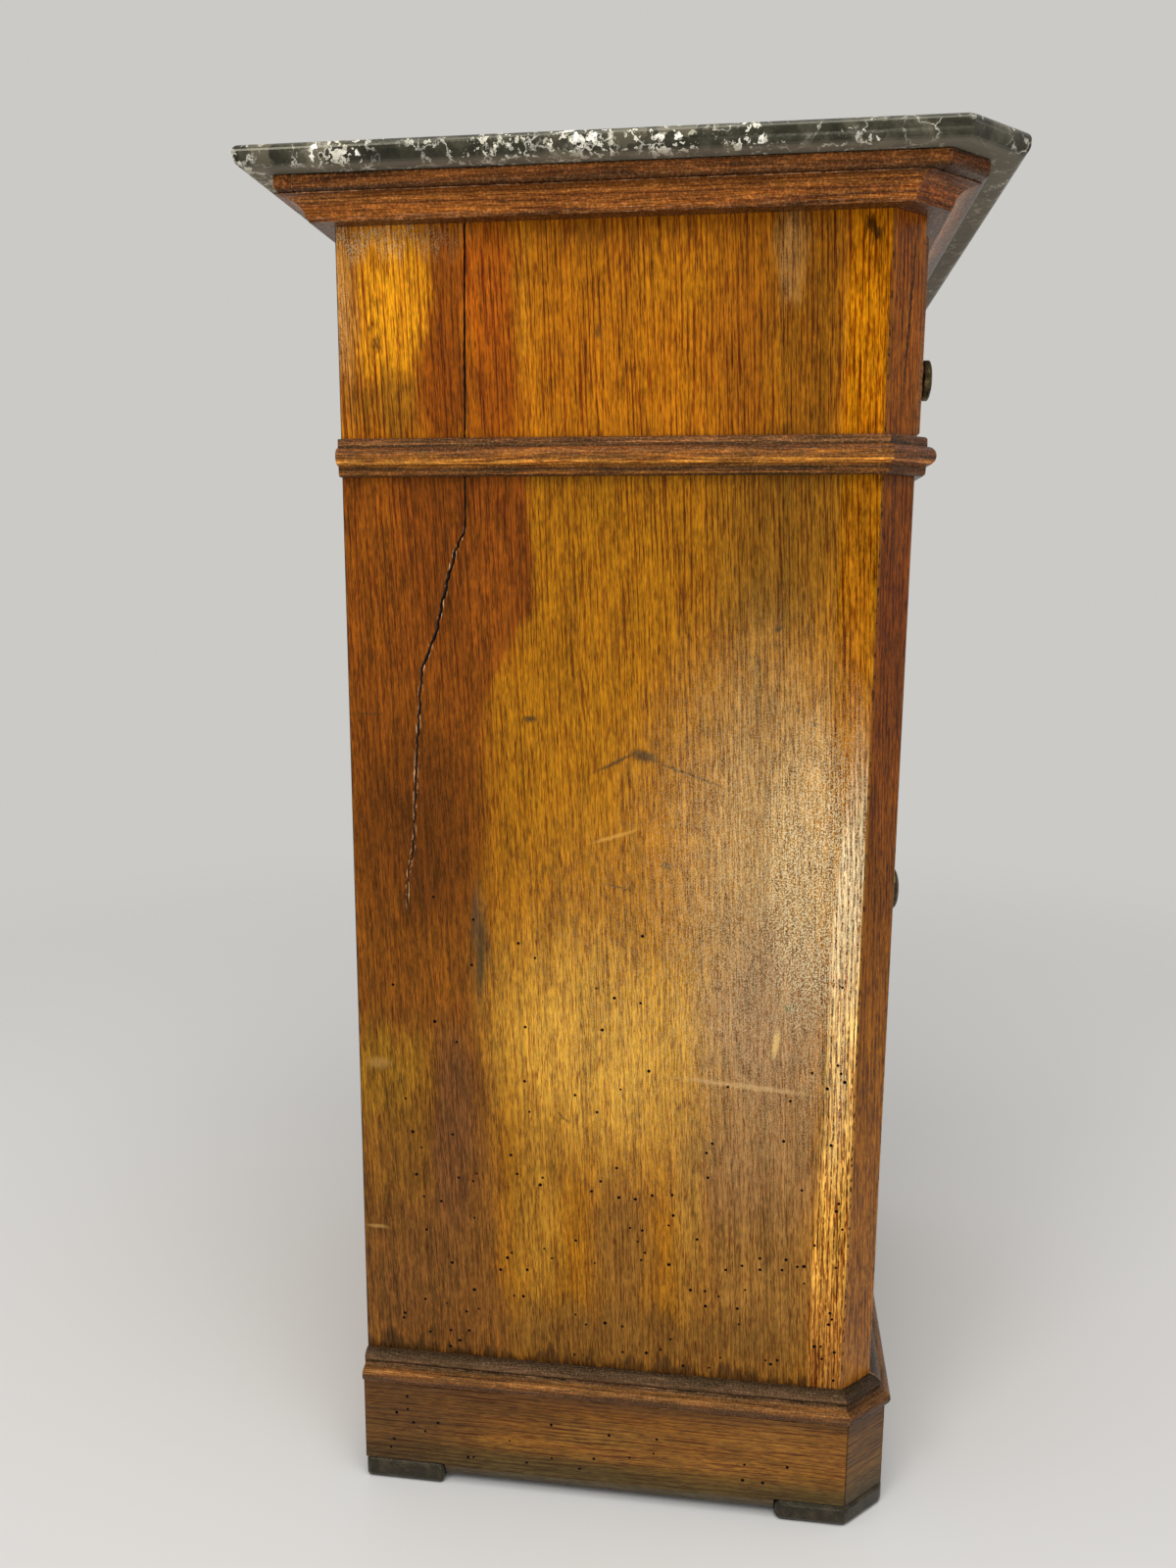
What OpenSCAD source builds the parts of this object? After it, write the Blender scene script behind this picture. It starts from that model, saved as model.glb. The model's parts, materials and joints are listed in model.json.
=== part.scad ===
// Bedside pot cupboard in oak, with a loose marble top, one drawer and one pivot-hung door.
// Millimetres. +Z is up, the front faces -Y, and the origin lies on the floor under the
// middle of the marble. A moulding's profile is a list of [projection, height] points, and
// a ring is the cupboard's plan, walked from the back left corner round the front.

/* [Carcass] */
// Width of the carcass over its side boards
body_w = 400; // [360:5:460]
// Depth of the carcass from its back face to its front face
body_d = 320; // [290:5:360]
// Length that each canted corner takes off the side and off the front
cant = 18.5; // [12:0.5:22]
// Thickness of the side boards
side_t = 20; // [16:0.5:22]
// Width of a front post across the front, cant included
post_w = 38; // [32:0.5:46]
// Width of a front post along the side, behind the cant
post_side = 22; // [18:0.5:30]
// Depth of a front post, from the front face back
post_t = 22.5; // [22:0.5:28]
// Thickness of the back boards
back_t = 10; // [8:0.5:14]
// Thickness of the bottom board
bottom_t = 18; // [14:0.5:22]
// Depth of the front rails, from the front face back
rail_d = 50; // [40:1:70]
// Thickness of the inner shelf
shelf_t = 12; // [10:0.5:18]
// Height of the shelf's top face above the bottom board
shelf_rise = 270; // [180:5:360]
// Thickness of the dust board under the drawer
dust_t = 8; // [6:0.5:12]

/* [Heights] */
// Height of the feet
foot_h = 14; // [10:0.5:24]
// Gap between the floor and the plinth boards
plinth_lift = 5.5; // [3:0.5:9]
// Height of the plinth boards
plinth_h = 63.7; // [50:0.1:80]
// Height of the base moulding
base_h = 18.1; // [16:0.1:26]
// Height of the door's opening
door_open_h = 546.6; // [480:0.2:600]
// Height of the astragal moulding and of the rail behind it
waist_h = 20.8; // [18:0.2:26]
// Height of the drawer's opening
drawer_open_h = 113; // [90:0.5:140]
// Height of the cornice's cavetto moulding
cove_h = 11.7; // [10:0.1:16]
// Height of the top board and of the band round its edge
band_h = 8.4; // [7:0.1:12]

/* [Mouldings] */
// Projection of the plinth boards, which is their thickness
plinth_t = 9.7; // [7:0.1:14]
// Furthest projection of the base moulding
base_out = 13; // [12:0.5:18]
// Projection of the astragal's fillets
waist_fillet = 5.5; // [4:0.5:7]
// Furthest projection of the astragal's round
waist_out = 10.5; // [9:0.5:14]
// Projection of the fillet at the bottom of the cornice
cove_in = 10.7; // [8:0.1:14]
// Furthest projection of the cavetto
cove_out = 24.3; // [21:0.1:27]
// Length that the cavetto's cant takes off each way
cove_cant = 14.3; // [11:0.1:18.5]
// Overhang of the top board beyond the carcass at the sides and front
board_over = 16; // [12:0.5:20]
// Overhang of the top board beyond the carcass at the back
board_over_back = 13; // [9:0.5:18]
// Length that the top board's cant takes off each way
board_cant = 15.5; // [12:0.5:20]
// Width of the band round the top board
band_w = 11; // [9:0.5:14]

/* [Marble] */
// Thickness of the marble
marble_t = 12.2; // [11:0.1:22]
// Overhang of the marble beyond the side boards
marble_side = 38.5; // [32:0.5:50]
// Overhang of the marble beyond the back face
marble_back = 41; // [30:0.5:50]
// Overhang of the marble beyond the front face
marble_front = 46; // [38:0.5:60]
// Length that the marble's cant takes off each way
marble_cant = 33; // [20:0.5:45]
// Radius of the marble's upper arris
marble_r_top = 4; // [2:0.5:5]
// Radius of the marble's lower arris
marble_r_low = 6.5; // [3:0.5:7]

/* [Drawer] */
// Thickness of the drawer front
dfront_t = 24; // [20:0.5:28]
// Distance that the drawer front stands proud of the carcass
dfront_proud = 4.5; // [2:0.5:6]
// Width of the chamfer round the drawer front
dfront_chamfer = 3.5; // [1:0.5:4]
// Thickness of the drawer sides
dside_t = 11; // [9:0.5:14]
// Gap between the drawer's back and the rear rail
drawer_room = 15.5; // [2:0.5:60]
// Thickness of the drawer back
dback_t = 10; // [8:0.5:13]
// Thickness of the drawer bottom
dbottom_t = 6; // [5:0.5:8]
// Number of dovetails at each front corner of the drawer
tails = 3; // [2:1:4]
// Length of a dovetail
tail_l = 14; // [10:0.5:16]
// Diameter of the drawer knob
dknob_d = 26.5; // [22:0.5:34]
// Distance that the drawer knob stands off the drawer front
dknob_l = 25.5; // [20:0.5:34]

/* [Door] */
// Thickness of the door
door_t = 20; // [18:0.5:22]
// Width of the door's stiles
stile_w = 52; // [44:1:64]
// Height of the door's rails
door_rail_h = 62; // [50:1:80]
// Thickness of the door panel's field
panel_t = 11; // [9:0.5:13]
// Width of the bevel round the door panel
panel_bevel = 24; // [12:1:32]
// Distance of the pivots from the door's hanging edge
pivot_in = 10.5; // [9:0.5:14]
// Diameter of the pivot pins
pivot_d = 6; // [5:0.5:8]
// Diameter of the door knob
knob_d = 34; // [26:0.5:40]
// Distance that the door knob stands off the door
knob_l = 36; // [26:0.5:42]
// Height of the door knob's centre above the bottom of the door's opening
knob_rise = 232; // [150:1:380]
// Diameter of the catch's spindle
spindle_d = 8; // [6:0.5:10]
// Length of the catch bar from the spindle's centre to its tip
catch_l = 42; // [36:1:44]

/* [Feet] */
// Length of a rear foot along the side
rear_foot_l = 52; // [40:1:70]
// Distance that a front foot runs back behind the canted corner
front_foot_l = 39; // [28:1:60]
// Width of a foot across the front or back
foot_w = 60; // [50:1:80]

/* [Fits] */
// Gap round the drawer front and the door
gap = 1.5; // [1:0.1:2.5]
// Running clearance of the drawer on its runners and guides
run_gap = 0.3; // [0.2:0.05:0.5]
// Radial clearance of the pivots and of the spindle
bore_gap = 0.08; // [0.05:0.01:0.1]

/* [Hidden] */
$fn = 48;

// Levels, from the floor up
z_plinth = plinth_lift;
z_base = z_plinth + plinth_h;
z_door = z_base + base_h;
z_waist = z_door + door_open_h;
z_drawer = z_waist + waist_h;
z_cove = z_drawer + drawer_open_h;
z_board = z_cove + cove_h;
z_marble = z_board + band_h;
z_bottom = z_door - bottom_t;
z_shelf = z_door + shelf_rise - shelf_t;
z_knob = z_door + knob_rise;
z_dknob = z_drawer + drawer_open_h / 2;

// Plan
half_w = body_w / 2;
marble_d = marble_front + body_d + marble_back;
back_y = marble_d / 2 - marble_back;
front_y = back_y - body_d;
open_x = half_w - post_w;
in_x = half_w - side_t;
in_back_y = back_y - back_t;
post_in_y = front_y + post_t;
post_back_y = front_y + cant + post_side;
rail_back_y = front_y + rail_d;
rebate = side_t / 2;

// Inner framing, all of sawn strips
strip_t = 20;
runner_w = 30;
guide_h = 16;
kicker_w = 30;
cleat_w = 16;
cleat_h = 20;
stop_w = 40;
stop_t = 14;
rear_rail_h = 30;
plank_gap = 1;
plank_n = 3;
plank_lift = 6;

// Door and drawer
door_x = open_x - gap;
door_y = front_y;
door_back_y = door_y + door_t;
pivot_x = -door_x + pivot_in;
pivot_y = door_y + door_t / 2;
door_z0 = z_door + gap;
door_z1 = z_waist - gap;
knob_x = door_x - stile_w / 2;
dface_y = front_y - dfront_proud;
dback_face_y = dface_y + dfront_t;
drawer_x = open_x - gap;
side_play = 3;
dside_h = drawer_open_h - side_play;
dside_z = z_drawer + run_gap;
dside_end_y = in_back_y - strip_t - drawer_room;
bottom_rise = 8;
dbottom_z = dside_z + bottom_rise;
back_drop = 6;
groove = 5;

// Pivots: plates let into the wood, with a pin and a collar on the door's own pair
plate_t = 3;
plate_w = 12;
plate_l = 46;
pin_plate_l = 36;
pin_l = 10;
collar_d = pivot_d + 4;
pin_room = 1;

// Catch bar, knob shank and nut
catch_t = 4;
catch_w = 16;
catch_gap = 0.5;
catch_y = max(post_in_y, door_back_y) + catch_gap;
shank_d = 6;
nut_d = 14;
nut_t = 4;

// ---- plan and profile helpers ----

// Points of an elliptic arc about c, with radii r, from angle a0 to a1
function arc(c, r, a0, a1, n = 8) =
    [for (i = [0 : n]) let (a = a0 + (a1 - a0) * i / n) c + [r.x * cos(a), r.y * sin(a)]];

// Plan of the cupboard, or of a board that stands out from it by over and over_back
function plan_ring(leg, over = 0, over_back = 0) = [
    [-half_w - over, back_y + over_back],
    [-half_w - over, front_y - over + leg],
    [-half_w - over + leg, front_y - over],
    [half_w + over - leg, front_y - over],
    [half_w + over, front_y - over + leg],
    [half_w + over, back_y + over_back]
];

// Outward normal of the edge from a to b
function normal_of(a, b) = let (d = (b - a) / norm(b - a)) [d.y, -d.x];

function wrap(ring, i) = ring[(i + len(ring)) % len(ring)];

// Step along the mitre at corner i for one millimetre of projection. The two ends of an
// open ring are cut square.
function mitre(ring, i, closed) =
    let (
        last = len(ring) - 1,
        before = normal_of(wrap(ring, i - 1), ring[i]),
        after = normal_of(ring[i], wrap(ring, i + 1)),
        n1 = !closed && i == 0 ? after : before,
        n2 = !closed && i == last ? before : after
    )
    (n1 + n2) / (1 + n1 * n2);

function after_first(points) = [for (i = [1 : len(points) - 1]) points[i]];

function pushed(ring, i, reach, closed) = ring[i] + reach * mitre(ring, i, closed);

function reach_of(profile) = max([for (p = profile) p.x]) + 1;

// The ground that the run from corner i to corner j may cover, with mitred ends
function run_ground(ring, i, j, reach, closed) = [
    pushed(ring, i, -reach, closed), pushed(ring, i, reach, closed),
    pushed(ring, j, reach, closed), pushed(ring, j, -reach, closed)
];

// A profile carried along the line from a to b, over-long at both ends
module carried(profile, a, b, z) {
    out = normal_of(a, b);
    translate([(a.x + b.x) / 2, (a.y + b.y) / 2, z])
        rotate([90, 0, atan2(out.y, out.x)])
            linear_extrude(height = norm(b - a) + 6 * reach_of(profile), center = true)
                polygon(profile);
}

// One run of moulding along edge i of a ring
module moulding(profile, ring, i, z, closed = false) {
    j = (i + 1) % len(ring);
    tall = max([for (p = profile) p.y]);
    intersection() {
        carried(profile, ring[i], ring[j], z);
        translate([0, 0, z - 1])
            linear_extrude(height = tall + 2)
                polygon(run_ground(ring, i, j, reach_of(profile), closed));
    }
}

module block(x0, x1, y0, y1, z0, z1) {
    translate([x0, y0, z0]) cube([x1 - x0, y1 - y0, z1 - z0]);
}

module flat(points, z0, z1) {
    translate([0, 0, z0]) linear_extrude(height = z1 - z0) polygon(points);
}

module mirrored(flip) {
    if (flip) mirror([1, 0, 0]) children();
    else children();
}

// ---- rings and profiles ----

body_ring = plan_ring(cant);
cove_ring = plan_ring(cove_cant);
board_ring = plan_ring(board_cant, board_over, board_over_back);

// Plinth board: a small round on top and a worn bevel along the floor
bevel_in = 3.5;
bevel_h = 8;
plinth_profile = concat(
    [[0, 0], [plinth_t - bevel_in, 0], [plinth_t, bevel_h]],
    arc([plinth_t - 1, plinth_h - 1], [1, 1], 0, 90, 3),
    [[0, plinth_h]]
);

// Base moulding: a round nose that lips over the plinth, a hollow, and an ovolo above it
nose_r = 4.3;
nose_z = nose_r + 0.6;
hollow_h = 2;
hollow_in = 2.5;
ovolo_out = 7;
ovolo_h = 5;
ovolo_set = 0.8;
base_profile = concat(
    [[0, 0], [plinth_t + 0.2, 0]],
    arc([base_out - nose_r, nose_z], [nose_r, nose_r], -72, 90, 10),
    after_first(arc([base_out - nose_r, nose_z + nose_r + hollow_h], [hollow_in, hollow_h],
                    270, 180, 4)),
    arc([ovolo_set, base_h - ovolo_h], [ovolo_out - ovolo_set, ovolo_h], 0, 90, 6),
    [[0, base_h]]
);

// Astragal: a half round between an upper fillet and a lower one that leans back
round_r = 5.1;
round_z = 10.7;
waist_profile = concat(
    [[0, 0], [waist_fillet - 1.6, 0], [waist_fillet - 0.2, 1.2], [waist_fillet, round_z - round_r]],
    arc([waist_out - round_r, round_z], [round_r, round_r], -90, 90, 12),
    [[waist_fillet + 0.2, round_z + round_r], [waist_fillet, waist_h - 0.9],
     [waist_fillet - 1, waist_h], [0, waist_h]]
);

// Cavetto: a bottom fillet, a quirk and a quarter hollow that ends level under the board
cove_fillet = 1.8;
quirk = 1.3;
cove_profile = concat(
    [[0, 0], [cove_in, 0], [cove_in + 0.2, cove_fillet]],
    arc([cove_out, cove_fillet], [cove_out - cove_in - quirk, cove_h - cove_fillet - 0.6],
        180, 90, 10),
    [[cove_out, cove_h], [0, cove_h]]
);

// Band: its upper arris is eased and its lower one rounded
band_r_top = 1.2;
band_r_low = 2.5;
band_profile = concat(
    [[0, 0]],
    arc([band_w - band_r_low, band_r_low], [band_r_low, band_r_low], -90, 0, 5),
    arc([band_w - band_r_top, band_h - band_r_top], [band_r_top, band_r_top], 0, 90, 3),
    [[0, band_h]]
);

// ---- top ----

// A slab whose far edge, at distance d along the direction a, is rounded
module rounded_slab(a, d) {
    wide = 4 * marble_d;
    rotate([90, 0, a])
        linear_extrude(height = wide, center = true)
            polygon(concat(
                [[-wide, 0]],
                arc([d - marble_r_low, marble_r_low], [marble_r_low, marble_r_low], -90, 0, 8),
                arc([d - marble_r_top, marble_t - marble_r_top],
                    [marble_r_top, marble_r_top], 0, 90, 6),
                [[-wide, marble_t]]
            ));
}

// The marble is where six slabs meet, each with its own edge rounded
module marble_top() {
    side = half_w + marble_side;
    front = marble_d / 2;
    corner = (side + front - marble_cant) / sqrt(2);
    color("#3b3f3c")
        translate([0, 0, z_marble])
            intersection() {
                rounded_slab(0, side);
                rounded_slab(180, side);
                rounded_slab(90, front);
                rounded_slab(-90, front);
                rounded_slab(-45, corner);
                rounded_slab(-135, corner);
            }
}

module top_board() {
    color("#8a4b22") flat(board_ring, z_board, z_marble);
}

module band_run(i) {
    color("#7c3a1c") moulding(band_profile, board_ring, i, z_board, true);
}
module band_front() band_run(2);
module band_cants() { band_run(1); band_run(3); }

// The side bands stop square against the back band
module band_side(i) {
    color("#7c3a1c") moulding(band_profile, board_ring, i, z_board, false);
}
module band_side_left() band_side(0);
module band_side_right() band_side(4);

// The back band runs right across, and its ends are shaped to the side bands
module band_back() {
    end_x = half_w + board_over;
    color("#7c3a1c")
        intersection() {
            carried(band_profile, board_ring[5], board_ring[0], z_board);
            union() {
                block(-end_x, end_x, back_y, back_y + board_over_back + band_w + 1,
                      z_board - 1, z_marble + 1);
                for (i = [0, 4])
                    carried(band_profile, board_ring[i], board_ring[i + 1], z_board);
            }
        }
}

// ---- cornice cavetto ----

module cove_run(i) {
    color("#7a3519") moulding(cove_profile, cove_ring, i, z_cove, true);
}
module cove_front() cove_run(2);
module cove_side_left() cove_run(0);
module cove_side_right() cove_run(4);
module cove_back() cove_run(5);

// The cavetto's cant is shorter than the post's, so its runs are backed out to the post
module cove_cants() {
    backing = (cant - cove_cant) / sqrt(2) + 1;
    backed = concat([[-backing, 0]], [for (p = cove_profile) if (p.x > 0) p],
                    [[-backing, cove_h]]);
    reach = reach_of(cove_profile);
    color("#7a3519")
        for (flip = [false, true])
            mirrored(flip)
                intersection() {
                    carried(backed, cove_ring[1], cove_ring[2], z_cove);
                    flat([body_ring[1], cove_ring[1], pushed(cove_ring, 1, reach, true),
                          pushed(cove_ring, 2, reach, true), cove_ring[2], body_ring[2]],
                         z_cove - 1, z_board + 1);
                }
}

// ---- astragal, base moulding and plinth ----

module waist_run(i) {
    color("#6d3016") moulding(waist_profile, body_ring, i, z_waist);
}
module waist_front() waist_run(2);
module waist_cants() { waist_run(1); waist_run(3); }
module waist_side_left() waist_run(0);
module waist_side_right() waist_run(4);

module base_run(i) {
    color("#70401d") moulding(base_profile, body_ring, i, z_base);
}
module base_front() base_run(2);
module base_cants() { base_run(1); base_run(3); }
module base_side_left() base_run(0);
module base_side_right() base_run(4);

// A plinth board, notched over the feet
module plinth_run(i) {
    color("#6b4420")
        difference() {
            moulding(plinth_profile, body_ring, i, z_plinth);
            for (flip = [false, true])
                mirrored(flip) {
                    flat(rear_foot_plan(1), -1, foot_h);
                    flat(front_foot_plan(1), -1, foot_h);
                }
        }
}
module plinth_front() plinth_run(2);
module plinth_cants() { plinth_run(1); plinth_run(3); }
module plinth_side_left() plinth_run(0);
module plinth_side_right() plinth_run(4);

// ---- feet ----

foot_out = plinth_t + 0.6;
foot_in = foot_w - foot_out;
foot_r = 5;

// Plan of a left rear foot, more pushes its outer edges out
function rear_foot_plan(more = 0) = [
    [-half_w - foot_out - more, back_y + more],
    [-half_w - foot_out - more, back_y - rear_foot_l],
    [-half_w + foot_in, back_y - rear_foot_l],
    [-half_w + foot_in, back_y + more]
];

// Plan of a left front foot, which follows the cant and has one rounded end
function front_foot_plan(more = 0) =
    let (
        o = foot_out + more,
        tail_y = front_y + cant + front_foot_l,
        end_x = -half_w + cant + front_foot_l
    )
    concat(
        more > 0
            ? [[-half_w - o, tail_y]]
            : arc([-half_w - o + foot_r, tail_y - foot_r], [foot_r, foot_r], 90, 180, 6),
        [pushed(body_ring, 1, o, false), pushed(body_ring, 2, o, false)],
        [[end_x, front_y - o], [end_x, tail_y]]
    );

module foot(points, flip) {
    mirrored(flip) color("#2a221d") flat(points, 0, foot_h);
}
module foot_rear_left() foot(rear_foot_plan(), false);
module foot_rear_right() foot(rear_foot_plan(), true);
module foot_front_left() foot(front_foot_plan(), false);
module foot_front_right() foot(front_foot_plan(), true);

// ---- carcass ----

// A side board, tongued into its post and rebated for the back boards
tongue_t = side_t * 0.4;
tongue_l = 6;
module side_board(flip) {
    tongue_x = -half_w + (side_t - tongue_t) / 2;
    mirrored(flip)
        color("#b9742a") {
            difference() {
                union() {
                    block(-half_w, -in_x, post_back_y, back_y, foot_h, z_board);
                    block(tongue_x, tongue_x + tongue_t, post_back_y - tongue_l, post_back_y + 1,
                          foot_h, z_board);
                }
                block(-half_w + rebate, -in_x + 1, in_back_y, back_y + 1, foot_h - 1, z_board + 1);
            }
        }
}
module side_board_left() side_board(false);
module side_board_right() side_board(true);

// A canted post, grooved for the side board's tongue
module post(flip) {
    tongue_x = -half_w + (side_t - tongue_t) / 2;
    mirrored(flip)
        color("#9a5a26")
            difference() {
                flat([
                    body_ring[1], body_ring[2], [-open_x, front_y], [-open_x, post_in_y],
                    [-in_x, post_in_y], [-in_x, post_back_y], [-half_w, post_back_y]
                ], foot_h, z_board);
                block(tongue_x, tongue_x + tongue_t, post_back_y - tongue_l, post_back_y + 1,
                      foot_h - 1, z_board + 1);
            }
}
module post_left() post(false);
module post_right() post(true);

// Upright back boards with a small gap for shrinkage, nailed in the rebate
module back_boards() {
    x0 = -half_w + rebate;
    w = (2 * (half_w - rebate) - plank_gap * (plank_n - 1)) / plank_n;
    color("#a5763f")
        for (i = [0 : plank_n - 1])
            let (x = x0 + i * (w + plank_gap))
                block(x, x + w, in_back_y, back_y, foot_h + plank_lift, z_board);
}

module bottom_board() {
    color("#a06a30")
        difference() {
            flat([
                [-open_x, front_y], [open_x, front_y], [open_x, post_in_y], [in_x, post_in_y],
                [in_x, in_back_y], [-in_x, in_back_y], [-in_x, post_in_y], [-open_x, post_in_y]
            ], z_bottom, z_door);
            plate_bed(z_door, -1);
        }
}

// Front and back rails that carry the bottom board
module base_rails() {
    color("#8b5a2a") {
        block(-open_x, open_x, front_y, front_y + strip_t, foot_h, z_bottom);
        block(-in_x, in_x, in_back_y - strip_t, in_back_y, foot_h, z_bottom);
    }
}

// Rail between the drawer and the door, grooved for the dust board
dust_z = z_waist + (waist_h - dust_t) / 2;
module divider_rail() {
    color("#8a5026")
        difference() {
            block(-open_x, open_x, front_y, rail_back_y, z_waist, z_drawer);
            block(-in_x, in_x, rail_back_y - groove, rail_back_y + 1, dust_z, dust_z + dust_t);
            plate_bed(z_waist, 1);
        }
}

module top_rail() {
    color("#8a5026") block(-open_x, open_x, front_y, rail_back_y, z_cove, z_board);
}

module rear_rail() {
    color("#8b5a2a")
        block(-in_x, in_x, in_back_y - strip_t, in_back_y, z_board - rear_rail_h, z_board);
}

// Runners under the drawer sides, grooved for the dust board
module drawer_runners() {
    color("#8b5a2a")
        for (flip = [false, true])
            mirrored(flip)
                difference() {
                    block(-in_x, -in_x + runner_w, rail_back_y, in_back_y, z_waist, z_drawer);
                    block(-in_x + runner_w - groove, in_x, rail_back_y - 1, in_back_y + 1,
                          dust_z, dust_z + dust_t);
                }
}

// Guides that keep the drawer square between the posts
module drawer_guides() {
    color("#8b5a2a")
        for (flip = [false, true])
            mirrored(flip)
                block(-in_x, -drawer_x - run_gap, post_back_y, in_back_y, z_drawer,
                      z_drawer + guide_h);
}

// Kickers that stop the drawer from tipping as it is drawn out
module kickers() {
    color("#8b5a2a")
        for (flip = [false, true])
            mirrored(flip)
                block(-in_x, -in_x + kicker_w, rail_back_y, in_back_y - strip_t, z_cove, z_board);
}

module dust_board() {
    color("#a5763f")
        block(-in_x + runner_w - groove, in_x - runner_w + groove, rail_back_y - groove,
              in_back_y, dust_z, dust_z + dust_t);
}

// Shelf, which lies loose on its cleats behind the posts
module shelf() {
    color("#a5763f")
        block(-in_x, in_x, post_back_y, in_back_y, z_shelf, z_shelf + shelf_t);
}

module shelf_cleats() {
    color("#8b5a2a")
        for (flip = [false, true])
            mirrored(flip)
                block(-in_x, -in_x + cleat_w, post_back_y, in_back_y, z_shelf - cleat_h, z_shelf);
}

// Blocks that the closed door meets, under the divider rail and on the bottom board
module door_stops() {
    color("#8b5a2a") {
        block(-stop_w / 2, stop_w / 2, door_back_y + run_gap, door_back_y + run_gap + stop_t,
              z_waist - stop_t, z_waist);
        block(-stop_w / 2, stop_w / 2, door_back_y + run_gap, door_back_y + run_gap + stop_t,
              z_door, z_door + stop_t);
    }
}

// ---- drawer ----

// Outline in [y, z] of the dovetails at the front end of a drawer side, each rooted in the
// board behind it
tail_pitch = dside_h / tails;
tail_root = tail_pitch * 0.46;
tail_flare = tail_l / 6;
tail_in = 2;
function tail_outline(k) =
    let (z = dside_z + tail_pitch * (k + 0.5))
    [
        [dback_face_y + tail_in, z - tail_root / 2],
        [dback_face_y, z - tail_root / 2],
        [dback_face_y - tail_l, z - tail_root / 2 - tail_flare],
        [dback_face_y - tail_l, z + tail_root / 2 + tail_flare],
        [dback_face_y, z + tail_root / 2],
        [dback_face_y + tail_in, z + tail_root / 2]
    ];

// Stand an outline in [y, z] across x0 to x1
module standing(points, x0, x1) {
    translate([x0, 0, 0])
        rotate([90, 0, 90])
            linear_extrude(height = x1 - x0)
                polygon(points);
}

module drawer_side(flip) {
    mirrored(flip)
        color("#b08a55")
            difference() {
                union() {
                    block(-drawer_x, -drawer_x + dside_t, dback_face_y, dside_end_y, dside_z,
                          dside_z + dside_h);
                    for (k = [0 : tails - 1])
                        standing(tail_outline(k), -drawer_x, -drawer_x + dside_t);
                }
                block(-drawer_x + dside_t - groove, -drawer_x + dside_t + 1,
                      dback_face_y - groove, dside_end_y + 1, dbottom_z, dbottom_z + dbottom_t);
            }
}
module drawer_side_left() drawer_side(false);
module drawer_side_right() drawer_side(true);

// Drawer front: chamfered all round, with half-blind sockets for the tails
module drawer_front() {
    z0 = z_drawer + gap;
    z1 = z_cove - gap;
    far = drawer_x;
    c = dfront_chamfer;
    color("#9a5420")
        difference() {
            intersection() {
                flat([[-far, dface_y + c], [-far + c, dface_y], [far - c, dface_y],
                      [far, dface_y + c], [far, dback_face_y], [-far, dback_face_y]], z0, z1);
                standing([[dface_y + c, z0], [dface_y, z0 + c], [dface_y, z1 - c],
                          [dface_y + c, z1], [dback_face_y, z1], [dback_face_y, z0]],
                         -far - 1, far + 1);
            }
            for (flip = [false, true])
                mirrored(flip)
                    for (k = [0 : tails - 1])
                        standing(tail_outline(k), -far - 1, -far + dside_t);
            block(-far + dside_t - groove, far - dside_t + groove, dback_face_y - groove,
                  dback_face_y + 1, dbottom_z, dbottom_z + dbottom_t);
            shank_bore(0, z_dknob, dface_y - 1, dback_face_y + 1, shank_d);
        }
}

module drawer_back() {
    color("#b08a55")
        block(-drawer_x + dside_t, drawer_x - dside_t, dside_end_y - dback_t, dside_end_y,
              dbottom_z + dbottom_t, dside_z + dside_h - back_drop);
}

module drawer_bottom() {
    color("#b9935c")
        block(-drawer_x + dside_t - groove, drawer_x - dside_t + groove,
              dback_face_y - groove, dside_end_y, dbottom_z, dbottom_z + dbottom_t);
}

// ---- knobs ----

// A hole or shank of diameter d along Y at x, z
module shank_bore(x, z, y0, y1, d) {
    translate([x, y1, z]) rotate([90, 0, 0]) cylinder(d = d, h = y1 - y0);
}

// Half section of a mushroom knob in [radius, distance from its seat]
function knob_outline(d, l) =
    let (r = d / 2, rim = l - d * 0.26, neck = d * 0.17)
    concat(
        [[0, 0], [d * 0.27, 0]],
        arc([d * 0.27, rim - 3], [d * 0.27 - neck, rim - 4.6], 270, 180, 6),
        after_first(arc([neck + 2.2, rim - 3], [2.2, 3], 180, 90, 4)),
        [[r - 0.9, rim], [r, rim + 0.9], [r, rim + 4]],
        arc([0, rim + 4], [r, l - rim - 4], 12, 90, 9)
    );

// A knob turned on a lathe, standing on the plane y at x, z, with its shank behind
module knob(d, l, x, y, z, shank, shank_l) {
    translate([x, y, z])
        rotate([90, 0, 0]) {
            rotate_extrude() polygon(knob_outline(d, l));
            translate([0, 0, -shank_l]) cylinder(d = shank, h = shank_l + 1);
        }
}

module drawer_knob() {
    color("#5d5443")
        knob(dknob_d, dknob_l, 0, dface_y, z_dknob, shank_d, dfront_t + nut_t + 1);
}

module knob_nut() {
    color("#6b5f45")
        difference() {
            shank_bore(0, z_dknob, dback_face_y, dback_face_y + nut_t, nut_d);
            shank_bore(0, z_dknob, dback_face_y - 1, dback_face_y + nut_t + 1, shank_d);
        }
}

// ---- door ----

panel_groove = 8;
tongue_gap = 0.6;
tongue_w = 5;
panel_set = 8;
panel_y = door_y + panel_set;
door_in_x = door_x - stile_w;
edge_chamfer = 2.5;

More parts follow.
